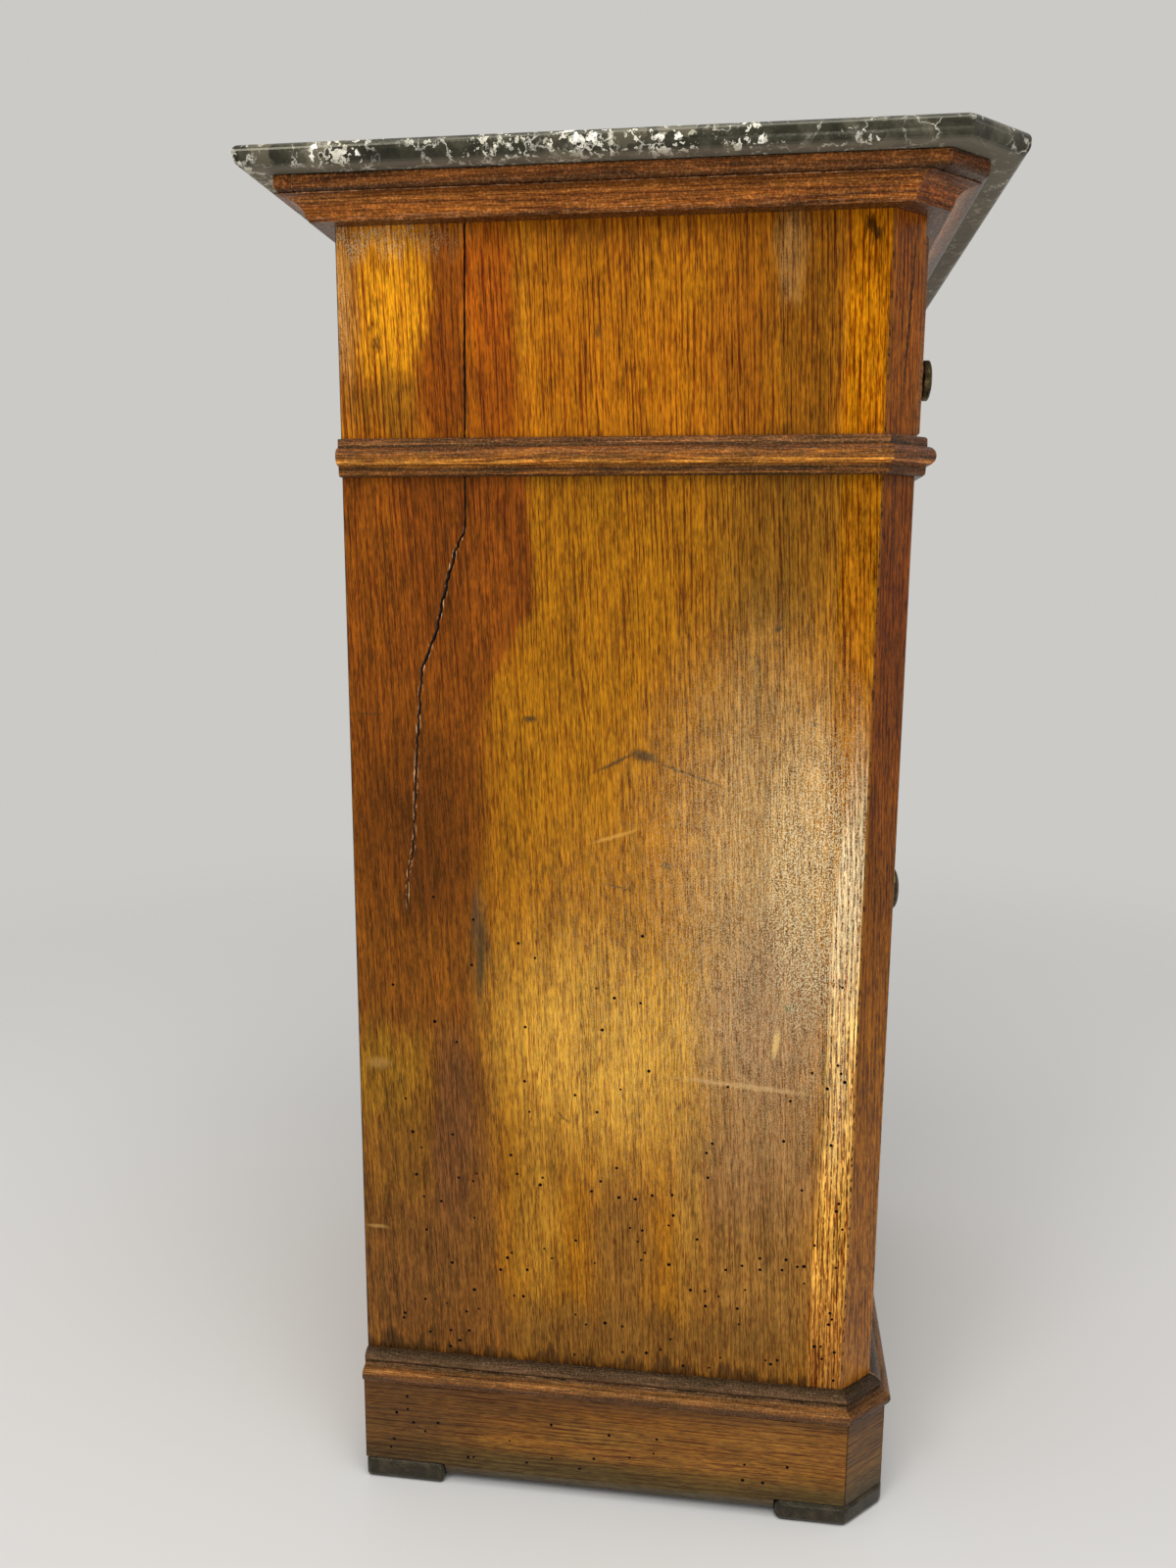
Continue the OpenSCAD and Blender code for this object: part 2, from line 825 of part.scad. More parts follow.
// A stile with its groove and a chamfered inner edge. The hanging stile's outer edge is a
// half round about the pivots, so that it clears the post as the door swings.
module stile(hanging) {
    s = hanging ? -1 : 1;
    outer = s * door_x;
    inner = s * door_in_x;
    c = edge_chamfer;
    edge = hanging
        ? arc([pivot_x, pivot_y], [pivot_in, door_t / 2], 270, 90, 16)
        : [[outer, door_y], [outer, door_back_y]];
    color("#a05f27")
        difference() {
            flat(concat(edge, [[inner, door_back_y], [inner, door_y]]), door_z0, door_z1);
            flat([[inner - s, door_y - 1], [inner - s, door_y + c + 1],
                  [inner + s * (c + 1), door_y - 1]],
                 door_z0 + door_rail_h, door_z1 - door_rail_h);
            block(min(inner, inner + s * panel_groove) - (hanging ? 0 : 1),
                  max(inner, inner + s * panel_groove) + (hanging ? 1 : 0),
                  panel_y, panel_y + tongue_w, door_z0 + door_rail_h - panel_groove,
                  door_z1 - door_rail_h + panel_groove);
            if (hanging) {
                door_plate_bed(door_z0, 1);
                door_plate_bed(door_z1, -1);
            }
            else shank_bore(knob_x, z_knob, door_y - 1, door_back_y + 1, spindle_d + 2 * bore_gap);
        }
}
module door_stile_left() stile(true);
module door_stile_right() stile(false);

// The two rails between the stiles, grooved for the panel
module door_rails() {
    c = edge_chamfer;
    color("#a05f27")
        for (up = [false, true])
            let (
                z0 = up ? door_z1 - door_rail_h : door_z0,
                z1 = z0 + door_rail_h,
                face = up ? z0 : z1,
                s = up ? 1 : -1
            )
                difference() {
                    standing([
                        [door_y, up ? z1 : z0], [door_back_y, up ? z1 : z0],
                        [door_back_y, face], [door_y + c, face], [door_y, face + s * c]
                    ], -door_in_x, door_in_x);
                    block(-door_in_x - 1, door_in_x + 1, panel_y, panel_y + tongue_w,
                          min(face, face + s * panel_groove) - (up ? 1 : 0),
                          max(face, face + s * panel_groove) + (up ? 0 : 1));
                }
}

// Fielded panel: a flat field whose four bevels run down to a tongue
module door_panel() {
    far = door_in_x + panel_groove - tongue_gap;
    z0 = door_z0 + door_rail_h - panel_groove + tongue_gap;
    z1 = door_z1 - door_rail_h + panel_groove - tongue_gap;
    back = panel_y + tongue_w;
    field = back - panel_t;
    b = panel_bevel;
    lip = panel_groove + 1;
    color("#a8672b")
        intersection() {
            flat([[-far, panel_y], [-far + lip, panel_y], [-far + lip + b, field],
                  [far - lip - b, field], [far - lip, panel_y], [far, panel_y],
                  [far, back], [-far, back]], z0, z1);
            standing([[panel_y, z0], [panel_y, z0 + lip], [field, z0 + lip + b],
                      [field, z1 - lip - b], [panel_y, z1 - lip], [panel_y, z1],
                      [back, z1], [back, z0]], -far - 1, far + 1);
        }
}

// Bed for a socket plate in the face at height z, cut upwards (up = 1) or downwards (-1)
module plate_bed(z, up) {
    z0 = up > 0 ? z - 1 : z - plate_t;
    block(pivot_x - plate_w / 2, pivot_x - plate_w / 2 + plate_l, pivot_y - plate_w / 2,
          pivot_y + plate_w / 2, z0, z0 + plate_t + 1);
    translate([pivot_x, pivot_y, up > 0 ? z - 1 : z - pin_l - 2])
        cylinder(d = pivot_d + pin_room, h = pin_l + 3);
}

// Bed for a pin plate in an end of the hanging stile, cut upwards (up = 1) or downwards
module door_plate_bed(z, up) {
    z0 = up > 0 ? z - 1 : z - plate_t;
    block(pivot_x - plate_w / 2, pivot_x - plate_w / 2 + pin_plate_l, pivot_y - plate_w / 2,
          pivot_y + plate_w / 2, z0, z0 + plate_t + 1);
}

// Pin plates let into the ends of the hanging stile, each with a collar that keeps the gap
module door_pivots() {
    color("#8a7440")
        for (up = [false, true])
            let (z = up ? door_z1 : door_z0) {
                block(pivot_x - plate_w / 2, pivot_x - plate_w / 2 + pin_plate_l,
                      pivot_y - plate_w / 2, pivot_y + plate_w / 2,
                      up ? z - plate_t : z, up ? z : z + plate_t);
                translate([pivot_x, pivot_y, up ? z - 1 : z - gap])
                    cylinder(d = collar_d, h = gap + 1);
                translate([pivot_x, pivot_y, up ? z - 1 : z - pin_l])
                    cylinder(d = pivot_d, h = pin_l + 1);
            }
}

// Socket plates let into the divider rail and the bottom board
module pivot_plates() {
    color("#8a7440")
        for (up = [false, true])
            let (z = up ? z_waist : z_door - plate_t)
                difference() {
                    block(pivot_x - plate_w / 2, pivot_x - plate_w / 2 + plate_l,
                          pivot_y - plate_w / 2, pivot_y + plate_w / 2, z, z + plate_t);
                    translate([pivot_x, pivot_y, z - 1])
                        cylinder(d = pivot_d + 2 * bore_gap, h = plate_t + 2);
                }
}

// Door knob, whose spindle passes through the stile to the catch bar
module door_knob() {
    color("#5d5443")
        knob(knob_d, knob_l - run_gap, knob_x, door_y - run_gap, z_knob, spindle_d,
             catch_y + catch_t - door_y + run_gap);
}

// Catch bar: upright when the door is free, turned a quarter it reaches behind the post
module catch_bar() {
    far = catch_l - catch_w / 2;
    color("#4a4640")
        difference() {
            union() {
                shank_bore(knob_x, z_knob, catch_y, catch_y + catch_t, catch_w);
                shank_bore(knob_x, z_knob + far, catch_y, catch_y + catch_t, catch_w);
                block(knob_x - catch_w / 2, knob_x + catch_w / 2, catch_y, catch_y + catch_t,
                      z_knob, z_knob + far);
            }
            shank_bore(knob_x, z_knob, catch_y - 1, catch_y + catch_t + 1, spindle_d);
        }
}

// ---- the parts ----

marble_top();
top_board();
band_front();
band_cants();
band_side_left();
band_side_right();
band_back();
cove_front();
cove_cants();
cove_side_left();
cove_side_right();
cove_back();
waist_front();
waist_cants();
waist_side_left();
waist_side_right();
base_front();
base_cants();
base_side_left();
base_side_right();
plinth_front();
plinth_cants();
plinth_side_left();
plinth_side_right();
foot_rear_left();
foot_rear_right();
foot_front_left();
foot_front_right();
side_board_left();
side_board_right();
post_left();
post_right();
back_boards();
bottom_board();
base_rails();
divider_rail();
top_rail();
rear_rail();
drawer_runners();
drawer_guides();
kickers();
dust_board();
shelf();
shelf_cleats();
door_stops();
drawer_front();
drawer_side_left();
drawer_side_right();
drawer_back();
drawer_bottom();
drawer_knob();
knob_nut();
door_stile_left();
door_stile_right();
door_rails();
door_panel();
door_pivots();
pivot_plates();
door_knob();
catch_bar();
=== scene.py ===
"""A bedside pot cupboard: the looks of its oak, mouldings, marble and bronze, around the fixed frame.

Sizes are in millimetres, in the frame of the model: x across the front, y from front to back, z up.
The photographed side is the one at the lowest x.
"""

import json
import math

import bmesh
import bpy
import numpy as np
from mathutils import Matrix, Vector


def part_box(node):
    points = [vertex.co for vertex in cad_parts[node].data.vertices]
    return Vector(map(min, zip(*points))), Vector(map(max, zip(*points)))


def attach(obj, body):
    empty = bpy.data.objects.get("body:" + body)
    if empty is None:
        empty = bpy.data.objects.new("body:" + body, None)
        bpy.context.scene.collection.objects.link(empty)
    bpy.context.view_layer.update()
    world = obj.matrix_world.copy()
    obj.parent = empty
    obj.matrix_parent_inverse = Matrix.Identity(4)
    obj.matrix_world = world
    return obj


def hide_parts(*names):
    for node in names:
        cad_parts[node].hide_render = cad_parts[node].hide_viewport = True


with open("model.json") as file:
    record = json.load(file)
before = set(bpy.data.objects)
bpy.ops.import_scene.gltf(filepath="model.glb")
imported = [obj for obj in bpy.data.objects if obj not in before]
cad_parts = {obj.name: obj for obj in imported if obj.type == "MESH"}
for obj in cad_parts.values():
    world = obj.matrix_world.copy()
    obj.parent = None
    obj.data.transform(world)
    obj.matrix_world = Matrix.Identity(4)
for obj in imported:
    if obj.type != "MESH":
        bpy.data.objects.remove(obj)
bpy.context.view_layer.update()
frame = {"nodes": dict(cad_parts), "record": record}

MM = 0.001
ENDLESS = 1e6  # a size so large that a pattern never ends that way
SIDE_X = -200.0  # the face of the photographed side
POST_BACK = -117  # just behind the joint of the side board and the post

# ------------ colours and nodes


def linear(code):
    """An sRGB hex colour as linear red, green, blue and alpha."""
    parts = [int(code[i:i + 2], 16) / 255 for i in (1, 3, 5)]
    return tuple(c / 12.92 if c <= 0.04045 else ((c + 0.055) / 1.055) ** 2.4 for c in parts) + (1.0,)


def add(tree, kind, links=None, stops=None, points=None, **settings):
    """Adds one node. links maps an input to a value, a hex colour, a node or an output; stops and
    points fill its ramp or curve; settings are its own properties."""
    node = tree.nodes.new("ShaderNode" + kind)
    for name, value in settings.items():
        setattr(node, name, value)
    for key, value in (links or {}).items():
        target = node.inputs[key] if isinstance(key, int) else next(
            s for s in node.inputs if s.name == key and s.enabled)
        if isinstance(value, bpy.types.Node):
            value = next(s for s in value.outputs if s.enabled)
        if isinstance(value, bpy.types.NodeSocket):
            tree.links.new(value, target)
        else:
            target.default_value = linear(value) if isinstance(value, str) else value
    if stops:
        elements = node.color_ramp.elements
        elements.remove(elements[1])
        elements[0].position = stops[0][0]
        for place, _ in stops[1:]:
            elements.new(place)
        for stop, (_, code) in zip(elements, stops):
            stop.color = linear(code)
    if points:
        curve = node.mapping.curves[0]
        while len(curve.points) < len(points):
            curve.points.new(0.5, 0.5)
        for point, place in zip(curve.points, points):
            point.location = place
            point.handle_type = "VECTOR"
        node.mapping.update()
    return node


def new_material(name):
    """An empty material and the node that gives a point's place on the object in millimetres."""
    material = bpy.data.materials.new(name)
    material.use_nodes = True
    tree = material.node_tree
    tree.nodes.clear()
    place = add(tree, "TexCoord").outputs["Object"]
    return material, tree, add(tree, "VectorMath", {0: place, "Scale": 1 / MM}, operation="SCALE")


def finish_material(tree, colour, height, roughness, depth, **constants):
    """Closes a material: its colour, its relief of so many millimetres, its roughness and constants."""
    relief = add(tree, "Bump", {"Height": height, "Distance": depth * MM})
    links = {"Base Color": colour, "Normal": relief, "Roughness": roughness}
    links.update({name.replace("_", " "): value for name, value in constants.items()})
    shader = add(tree, "BsdfPrincipled", links)
    add(tree, "OutputMaterial", {"Surface": shader})


def ellipse(tree, point, centre, half, strength, soft, tilt=0.0):
    """The strength inside an ellipse on the side's face (y, z), falling to 0 over a soft edge."""
    local = add(tree, "Mapping", {"Vector": point, "Location": (0, *centre),
                                  "Rotation": (math.radians(tilt), 0, 0),
                                  "Scale": (ENDLESS, *half)}, vector_type="TEXTURE")
    reach = add(tree, "VectorMath", {0: local}, operation="LENGTH").outputs["Value"]
    return add(tree, "MapRange", {"Value": reach, "From Min": 1 + soft, "From Max": 1 - soft,
                                  "To Max": strength}, interpolation_type="SMOOTHSTEP")


def shifted(tree, place, noise, spread):
    """The place pushed about by a noise, up to half the spread each way, so that edges laid on it tear."""
    push = add(tree, "VectorMath", {0: noise.outputs["Color"], 1: (0.5, 0.5, 0.5)}, operation="SUBTRACT")
    return add(tree, "VectorMath", {0: push, 1: spread, 2: place}, operation="MULTIPLY_ADD")


# ------------ wood

TURNS = {  # how a piece is turned so that its grain runs along z
    "up": (0, 0, 0),
    "leaning": (-2.5, 0, 0),
    "wide": (0, -90, 0),
    "deep": (90, 0, 0),
    "corner": (0, -90, -45),
}


def along_grain(tree, place, way):
    """The place in millimetres, turned so that the grain runs along z; the right corner mirrors the left."""
    turn = tuple(math.radians(a) for a in TURNS[way])
    if way == "corner":
        place = add(tree, "VectorMath", {0: place}, operation="ABSOLUTE")
    return add(tree, "Mapping", {"Vector": place, "Rotation": turn}, vector_type="TEXTURE")


def streaks(tree, grain, width, length, detail=2.0, roughness=0.6):
    """Noise in streaks so many millimetres wide and long, along the grain."""
    drawn = add(tree, "Mapping", {"Vector": grain, "Scale": (1 / width, 1 / width, 1 / length)})
    return add(tree, "TexNoise", {"Vector": drawn, "Scale": 1.0, "Detail": detail, "Roughness": roughness})


def oak_figure(tree, grain, ring):
    """Where the open pores of each year's first wood lie: dashes under 1 mm wide and up to 60 mm long, in
    rings round the heart of the tree that wander slowly and jog; and the finer pores between them."""
    heart = (-700, 900, 0)
    wander_by, jog_by = 40.0, 4.0  # in radians of a ring's wave
    wander = streaks(tree, grain, 30, 230, 1.5, 0.5)
    jog = streaks(tree, grain, 7, 60)
    across = add(tree, "Mapping", {"Vector": grain, "Location": heart, "Scale": (1, 1, ENDLESS)},
                 vector_type="TEXTURE")
    radius = add(tree, "VectorMath", {0: across}, operation="LENGTH").outputs["Value"]
    turns = add(tree, "Math", {0: radius, 1: 2 * math.pi / ring}, operation="MULTIPLY")
    drift = add(tree, "Math", {0: wander, 1: wander_by, 2: turns}, operation="MULTIPLY_ADD")
    phase = add(tree, "Math", {0: jog, 1: jog_by, 2: drift}, operation="MULTIPLY_ADD")
    wave = add(tree, "Math", {0: phase}, operation="SINE")
    dashes = streaks(tree, grain, 0.9, 60)
    crowd = add(tree, "Math", {0: wave, 1: 0.13, 2: dashes}, operation="MULTIPLY_ADD")
    lines = add(tree, "MapRange", {"Value": crowd, "From Min": 0.58, "From Max": 0.63})
    fine = streaks(tree, grain, 0.55, 10)
    pores = add(tree, "MapRange", {"Value": fine, "From Min": 0.5, "From Max": 0.64})
    return lines, pores


def new_wood(name, way, ring=2.6):
    """An empty material and its place, as from new_material, with the grain, the rings and the pores."""
    material, tree, place = new_material(name)
    grain = along_grain(tree, place, way)
    return material, tree, place, grain, *oak_figure(tree, grain, ring)


def varnish_peel(tree, place, size=1.1):
    """The orange peel of brushed varnish, as grains so many millimetres across."""
    return add(tree, "TexNoise", {"Vector": place, "Scale": 1 / size, "Roughness": 0.6})


def grained(tree, grain, colour, lines, pores, ring_shade="#a4664a", pore_shade="#a87e5a", blotch=0.2):
    """A colour darkened in the fine pores and more in the rings, with bands, blotches 5 and 15 mm wide
    where the stain took and fine pale and dark fibres; a shade is what the colour is multiplied by."""
    stain = streaks(tree, grain, 15, 50, 3.0, 0.65)
    mottle = streaks(tree, grain, 5, 9, 3.0, 0.7)
    band = streaks(tree, grain, 2.2, 120)
    fleck = streaks(tree, grain, 0.7, 4, 1.0)
    level = add(tree, "Math", {0: stain, 1: 0.7}, operation="MULTIPLY")
    for noise in (mottle, band, fleck):
        level = add(tree, "Math", {0: noise, 1: 0.8, 2: level}, operation="MULTIPLY_ADD")
    swing = 1.9 * blotch
    shade = add(tree, "MapRange", {"Value": level, "From Min": 1.2, "From Max": 1.9,
                                   "To Min": 1 + swing, "To Max": 1 - swing})
    colour = add(tree, "VectorMath", {0: colour, "Scale": shade}, operation="SCALE")
    taken = add(tree, "MapRange", {"Value": stain, "From Min": 0.35, "From Max": 0.6, "To Min": 0.6})
    drawn = add(tree, "Math", {0: lines, 1: taken}, operation="MULTIPLY")
    for share, tint in ((drawn, ring_shade), (pores, pore_shade)):
        shaded = add(tree, "Mix", {"Factor": 1.0, "A": colour, "B": tint}, data_type="RGBA",
                     blend_type="MULTIPLY")
        colour = add(tree, "Mix", {"Factor": share, "A": colour, "B": shaded}, data_type="RGBA")
    return colour


def by_height(tree, place, stops):
    """A colour that changes with height: stops are heights in millimetres and colours."""
    low, high = stops[0][0], stops[-1][0]
    axis = add(tree, "SeparateXYZ", {"Vector": place})
    run = add(tree, "MapRange", {"Value": axis.outputs["Z"], "From Min": low, "From Max": high})
    return add(tree, "ValToRGB", {0: run}, stops=[((z - low) / (high - low), code) for z, code in stops])


def wood_relief(tree, lines, pores, peel, peel_share=0.5):
    """Pores and rings sunk below the varnish, with its orange peel on top."""
    sunk = add(tree, "Math", {0: pores, 1: -0.5}, operation="MULTIPLY")
    low = add(tree, "Math", {0: lines, 1: -0.25, 2: sunk}, operation="MULTIPLY_ADD")
    return add(tree, "Math", {0: peel, 1: peel_share, 2: low}, operation="MULTIPLY_ADD")


# French-polished oak, as on the door, drawer front and right side: warm amber under a worn gloss.
def polished_oak(name, way):
    material, tree, place, grain, lines, pores = new_wood(name, way)
    cloud = streaks(tree, grain, 90, 225, 3.0, 0.55)
    tone = add(tree, "MapRange", {"Value": cloud, "From Min": 0.35, "From Max": 0.65},
               interpolation_type="SMOOTHSTEP")
    base = add(tree, "Mix", {"Factor": tone, "A": "#a8681a", "B": "#7c4410"}, data_type="RGBA")
    colour = grained(tree, grain, base, lines, pores)
    peel = varnish_peel(tree, place)
    rough = add(tree, "MapRange", {"Value": cloud, "To Min": 0.24, "To Max": 0.42})
    finish_material(tree, colour, wood_relief(tree, lines, pores, peel), rough, depth=0.12,
                    Specular_Tint="#e8b878")
    return material


# The photographed side. Tones are heights and the colours there.
SIDE_TONES = ((88, "#9d650a"), (634, "#a0670a"), (640, "#b06a09"), (768, "#b06a09"))
SIDE_PATCHES = (  # colour, middle y and z, half width and height, how much, how soft
    # above the waist, from the back to the front
    ("#e49812", 134, 730, 24, 40, 1.0, 0.5),
    ("#b57a34", 156, 715, 6, 45, 0.8, 0.6),
    ("#946012", 130, 674, 26, 16, 0.8, 0.6),
    ("#894306", 103, 682, 14, 40, 1.0, 0.35),
    ("#894306", 99, 735, 9, 40, 0.9, 0.4),
    ("#b35a08", 77, 735, 15, 45, 0.9, 0.4),
    ("#924606", 74, 682, 16, 34, 0.9, 0.5),
    ("#bb7711", 57, 722, 5, 50, 0.8, 0.6),
    ("#8a4f0b", 0, 768, 95, 9, 0.7, 0.6),
    ("#be780a", -25, 735, 28, 22, 0.5, 0.8),
    ("#8a4e09", -63, 700, 16, 55, 0.8, 0.6),
    ("#855208", -98, 700, 22, 70, 0.9, 0.5),
    ("#c47c0a", -124, 710, 9, 60, 0.9, 0.5),
    ("#3f240c", -129, 758, 5, 5, 0.9, 0.5),
    ("#a4763a", -88, 750, 9, 22, 0.6, 0.5),
    ("#6d3f12", 141, 713, 2.6, 2.6, 0.9, 0.4),
    # below it, down the middle and front
    ("#7b5110", -85, 602, 34, 42, 0.9, 0.6),
    ("#755012", -80, 560, 26, 22, 0.7, 0.7),
    ("#a2640f", -127, 560, 8, 80, 0.8, 0.5),
    ("#a87010", 20, 450, 60, 60, 0.6, 0.8),
    ("#94661c", -80, 500, 34, 40, 0.7, 0.7),
    ("#9f7c46", -85, 420, 40, 90, 0.8, 0.7),
    ("#c6942e", 5, 300, 75, 62, 0.9, 0.7),
    ("#8f6a46", -85, 320, 36, 60, 0.9, 0.6),
    ("#8e683c", -88, 225, 42, 52, 0.9, 0.6),
    ("#a2762a", -43, 200, 8, 60, 0.7, 0.6),
    ("#7f5620", -2, 165, 20, 52, 0.9, 0.6),
    ("#9f7020", 50, 185, 16, 60, 0.9, 0.6),
    ("#89622e", -88, 150, 44, 50, 0.8, 0.6),
    ("#6f4c1e", -10, 108, 120, 22, 0.8, 0.6),
    ("#3a2412", 0, 84, 400, 9, 0.85, 0.5),
)
# Darkened shellac at the back: its front edge, and how soft that is, as heights and millimetres of y.
DARK_EDGE = ((88, 66), (150, 72), (240, 75), (330, 84), (400, 78), (470, 77), (505, 80), (525, 72),
             (548, 62), (565, 51), (600, 54), (634, 58))
DARK_SPREAD = ((88, 9), (330, 14), (470, 16), (510, 4), (634, 3))
DARK_TONES = ((88, "#754918"), (300, "#784712"), (380, "#78420b"), (634, "#803f0a"))
DARK_PATCHES = (
    ("#8a4a0b", 146, 600, 18, 60, 0.9, 0.6),
    ("#6b3307", 108, 590, 12, 60, 0.7, 0.6),
    ("#5c2d07", 122, 425, 34, 62, 0.9, 0.6),
    ("#7c460c", 118, 345, 42, 30, 0.8, 0.7),
    ("#8b6114", 144, 272, 26, 34, 1.0, 0.5),
    ("#7b5016", 140, 215, 30, 40, 0.9, 0.6),
    ("#673f1f", 103, 225, 14, 75, 1.0, 0.4),
    ("#6e451a", 128, 140, 44, 46, 0.9, 0.6),
    ("#7c4f1c", 84, 190, 10, 60, 0.8, 0.6),
    ("#4a3e2c", 85, 362, 4, 30, 0.8, 0.6),
    ("#33200f", 100, 84, 200, 9, 0.85, 0.5),
)
# Sapwood strip along the post's outer arris: its back edge at each height, and its colours and those
# of its dashes. Then the colours of the polish that the post's other faces kept, and of its worn arris.
STRIP_EDGE = ((88, -117.5), (160, -118), (250, -120.5), (390, -122.5), (470, -128), (520, -134))
STRIP_TONES = ((88, "#a06a2c"), (130, "#be8538"), (200, "#e0a848"), (315, "#e8bc6c"), (365, "#f4d090"),
               (420, "#e6cc9c"), (470, "#cda878"), (520, "#a67e50"))
DASH_TONES = ((88, "#84541f"), (200, "#805220"), (420, "#6a4820"))
POLISH_TONES = ((88, "#946022"), (300, "#8a540c"), (430, "#7c4408"), (560, "#723606"), (680, "#8a4c0c"),
                (768, "#a85e12"))
ARRIS_TONES = ((88, "#7a5030"), (165, "#96692f"), (215, "#a8783a"), (265, "#a0702c"), (315, "#8e5e22"),
               (365, "#7c5014"), (440, "#84561e"), (515, "#6e4016"), (768, "#74461a"))
SCUFFS = (  # colour, middle y and z, half width and height, tilt in degrees, how much
    ("#33251a", -12, 478, 7, 3, 10, 0.9),
    ("#3c2a1a", 4, 474, 13, 0.9, -28, 0.8),
    ("#3c2a1a", -38, 468, 22, 0.8, 20, 0.7),
    ("#3a2c18", 54, 498, 3.5, 1.8, 0, 0.9),
    ("#3a2c18", 150, 499, 9, 0.8, 0, 0.5),
    ("#4a3a22", -26, 414, 3.5, 2.0, 0, 0.7),
    ("#4a371b", 2, 400, 8, 0.7, 12, 0.7),
    ("#3a2a16", 35, 254, 5, 0.8, 45, 0.7),
    ("#33261a", -86, 551, 1.6, 1.6, 0, 0.9),
    ("#33261a", -98, 506, 1.5, 1.5, 0, 0.8),
    ("#33261a", -108, 498, 1.8, 1.2, 0, 0.8),
    ("#3a2614", 16, 710, 1.3, 3.5, 0, 0.7),
    ("#2c261a", 85, 352, 2.2, 26, 2, 0.75),
    ("#33302a", 88, 380, 2, 16, 2, 0.6),
    ("#d9a24a", 5, 430, 12, 1.0, -18, 0.5),
    ("#d0a870", -75, 281, 34, 1.7, 4, 0.45),
    ("#c09a5a", 150, 282, 7, 3.5, 0, 0.25),
    ("#dcb468", -92, 309, 1.8, 8, 8, 0.7),
    ("#b89050", 154, 172, 6, 1.2, 0, 0.5),
    ("#4a5a3a", -99, 331, 3, 2, 0, 0.6),
    ("#1c0e06", -149.7, 714, 0.6, 48, 2.5, 0.95),
    ("#2a1a0e", -146, 600, 0.6, 40, -3, 0.5),
)
# Bloom and painted sheen: where the old varnish went milky, with painted reflection and sparkle where the
# light glances off its gloss.
BLOOMS_AND_PAINTED_SHEEN = (  # middle y and z, half width and height, how much, how soft
    (-110, 402, 32, 84, 0.75, 0.6),
    (-80, 385, 58, 118, 0.35, 0.8),
    (-129, 370, 8, 118, 0.5, 0.6),
    (-111, 305, 9, 60, 0.3, 0.7),
    (152, 762, 44, 9, 0.4, 0.8),
    (164, 735, 6, 38, 0.25, 0.8),
    (-86, 748, 4, 20, 0.08, 0.7),
    (-30, 320, 80, 90, 0.15, 0.8),
)
# The split in the side board, from the cornice down: heights, millimetres of y and widths.
SPLIT = ((768, 89.3, 1.2), (700, 90.2, 1.4), (655, 90.6, 1.2), (634, 91.0, 1.2), (606, 91.0, 1.2),
         (603, 92.2, 1.3), (592, 97.5, 2.0), (570, 103.5, 2.0), (548, 108.8, 2.1), (530, 115.6, 2.0),
         (526, 117.8, 1.4), (500, 120.0, 1.5), (470, 122.5, 1.3), (440, 123.8, 1.1), (420, 125.2, 1.1),
         (403, 128.4, 0.9), (385, 130.0, 0.4))


def height_curve(tree, height, path, near, far):
    """A place that changes with height: the path's heights and places, all between near and far."""
    low, high = path[0][0], path[-1][0]
    run = add(tree, "MapRange", {"Value": height, "From Min": low, "From Max": high})
    curve = add(tree, "FloatCurve", {"Value": run}, points=[
        ((z - low) / (high - low), (y - near) / (far - near)) for z, y in path])
    return add(tree, "MapRange", {"Value": curve, "To Min": near, "To Max": far})


def in_front(rows, joint, at=1):
    """The rows of a table whose spots reach in front of a joint: a row holds its y at that index and its
    half width two further on."""
    return [row for row in rows if row[at] - 2 * row[at + 2] < joint]


def patched(tree, point, colour, patches):
    """A colour with soft patches of others laid over it in turn."""
    for code, y, z, half_y, half_z, strength, soft in patches:
        spot = ellipse(tree, point, (y, z), (half_y, half_z), strength, soft)
        colour = add(tree, "Mix", {"Factor": spot, "A": colour, "B": code}, data_type="RGBA")
    return colour


def scuffed(tree, place, colour, scuffs):
    """A colour with ragged scuffs drawn over it: a fine noise moves each point by 1 mm and up to 1 mm
    more or less, so the middles are moved by 1 mm too."""
    rub = add(tree, "TexNoise", {"Vector": place, "Scale": 1 / 2.5})
    jitter = add(tree, "VectorMath", {0: rub.outputs["Color"], 1: (2, 2, 2), 2: place},
                 operation="MULTIPLY_ADD")
    for code, y, z, half_y, half_z, tilt, strength in scuffs:
        spot = ellipse(tree, jitter, (y + 1, z + 1), (half_y, half_z), strength, 0.6, tilt)
        colour = add(tree, "Mix", {"Factor": spot, "A": colour, "B": code}, data_type="RGBA")
    return colour


def bloom_and_sheen(tree, point, bloom_and_sheen_spots):
    """How milky the varnish is and how much painted sheen it has: the most that any bloom gives there."""
    milky_and_sheen = None
    for y, z, half_y, half_z, strength, soft in bloom_and_sheen_spots:
        spot = ellipse(tree, point, (y, z), (half_y, half_z), strength, soft)
        milky_and_sheen = spot if milky_and_sheen is None else add(tree, "Math", {0: milky_and_sheen, 1: spot}, operation="MAXIMUM")
    return milky_and_sheen
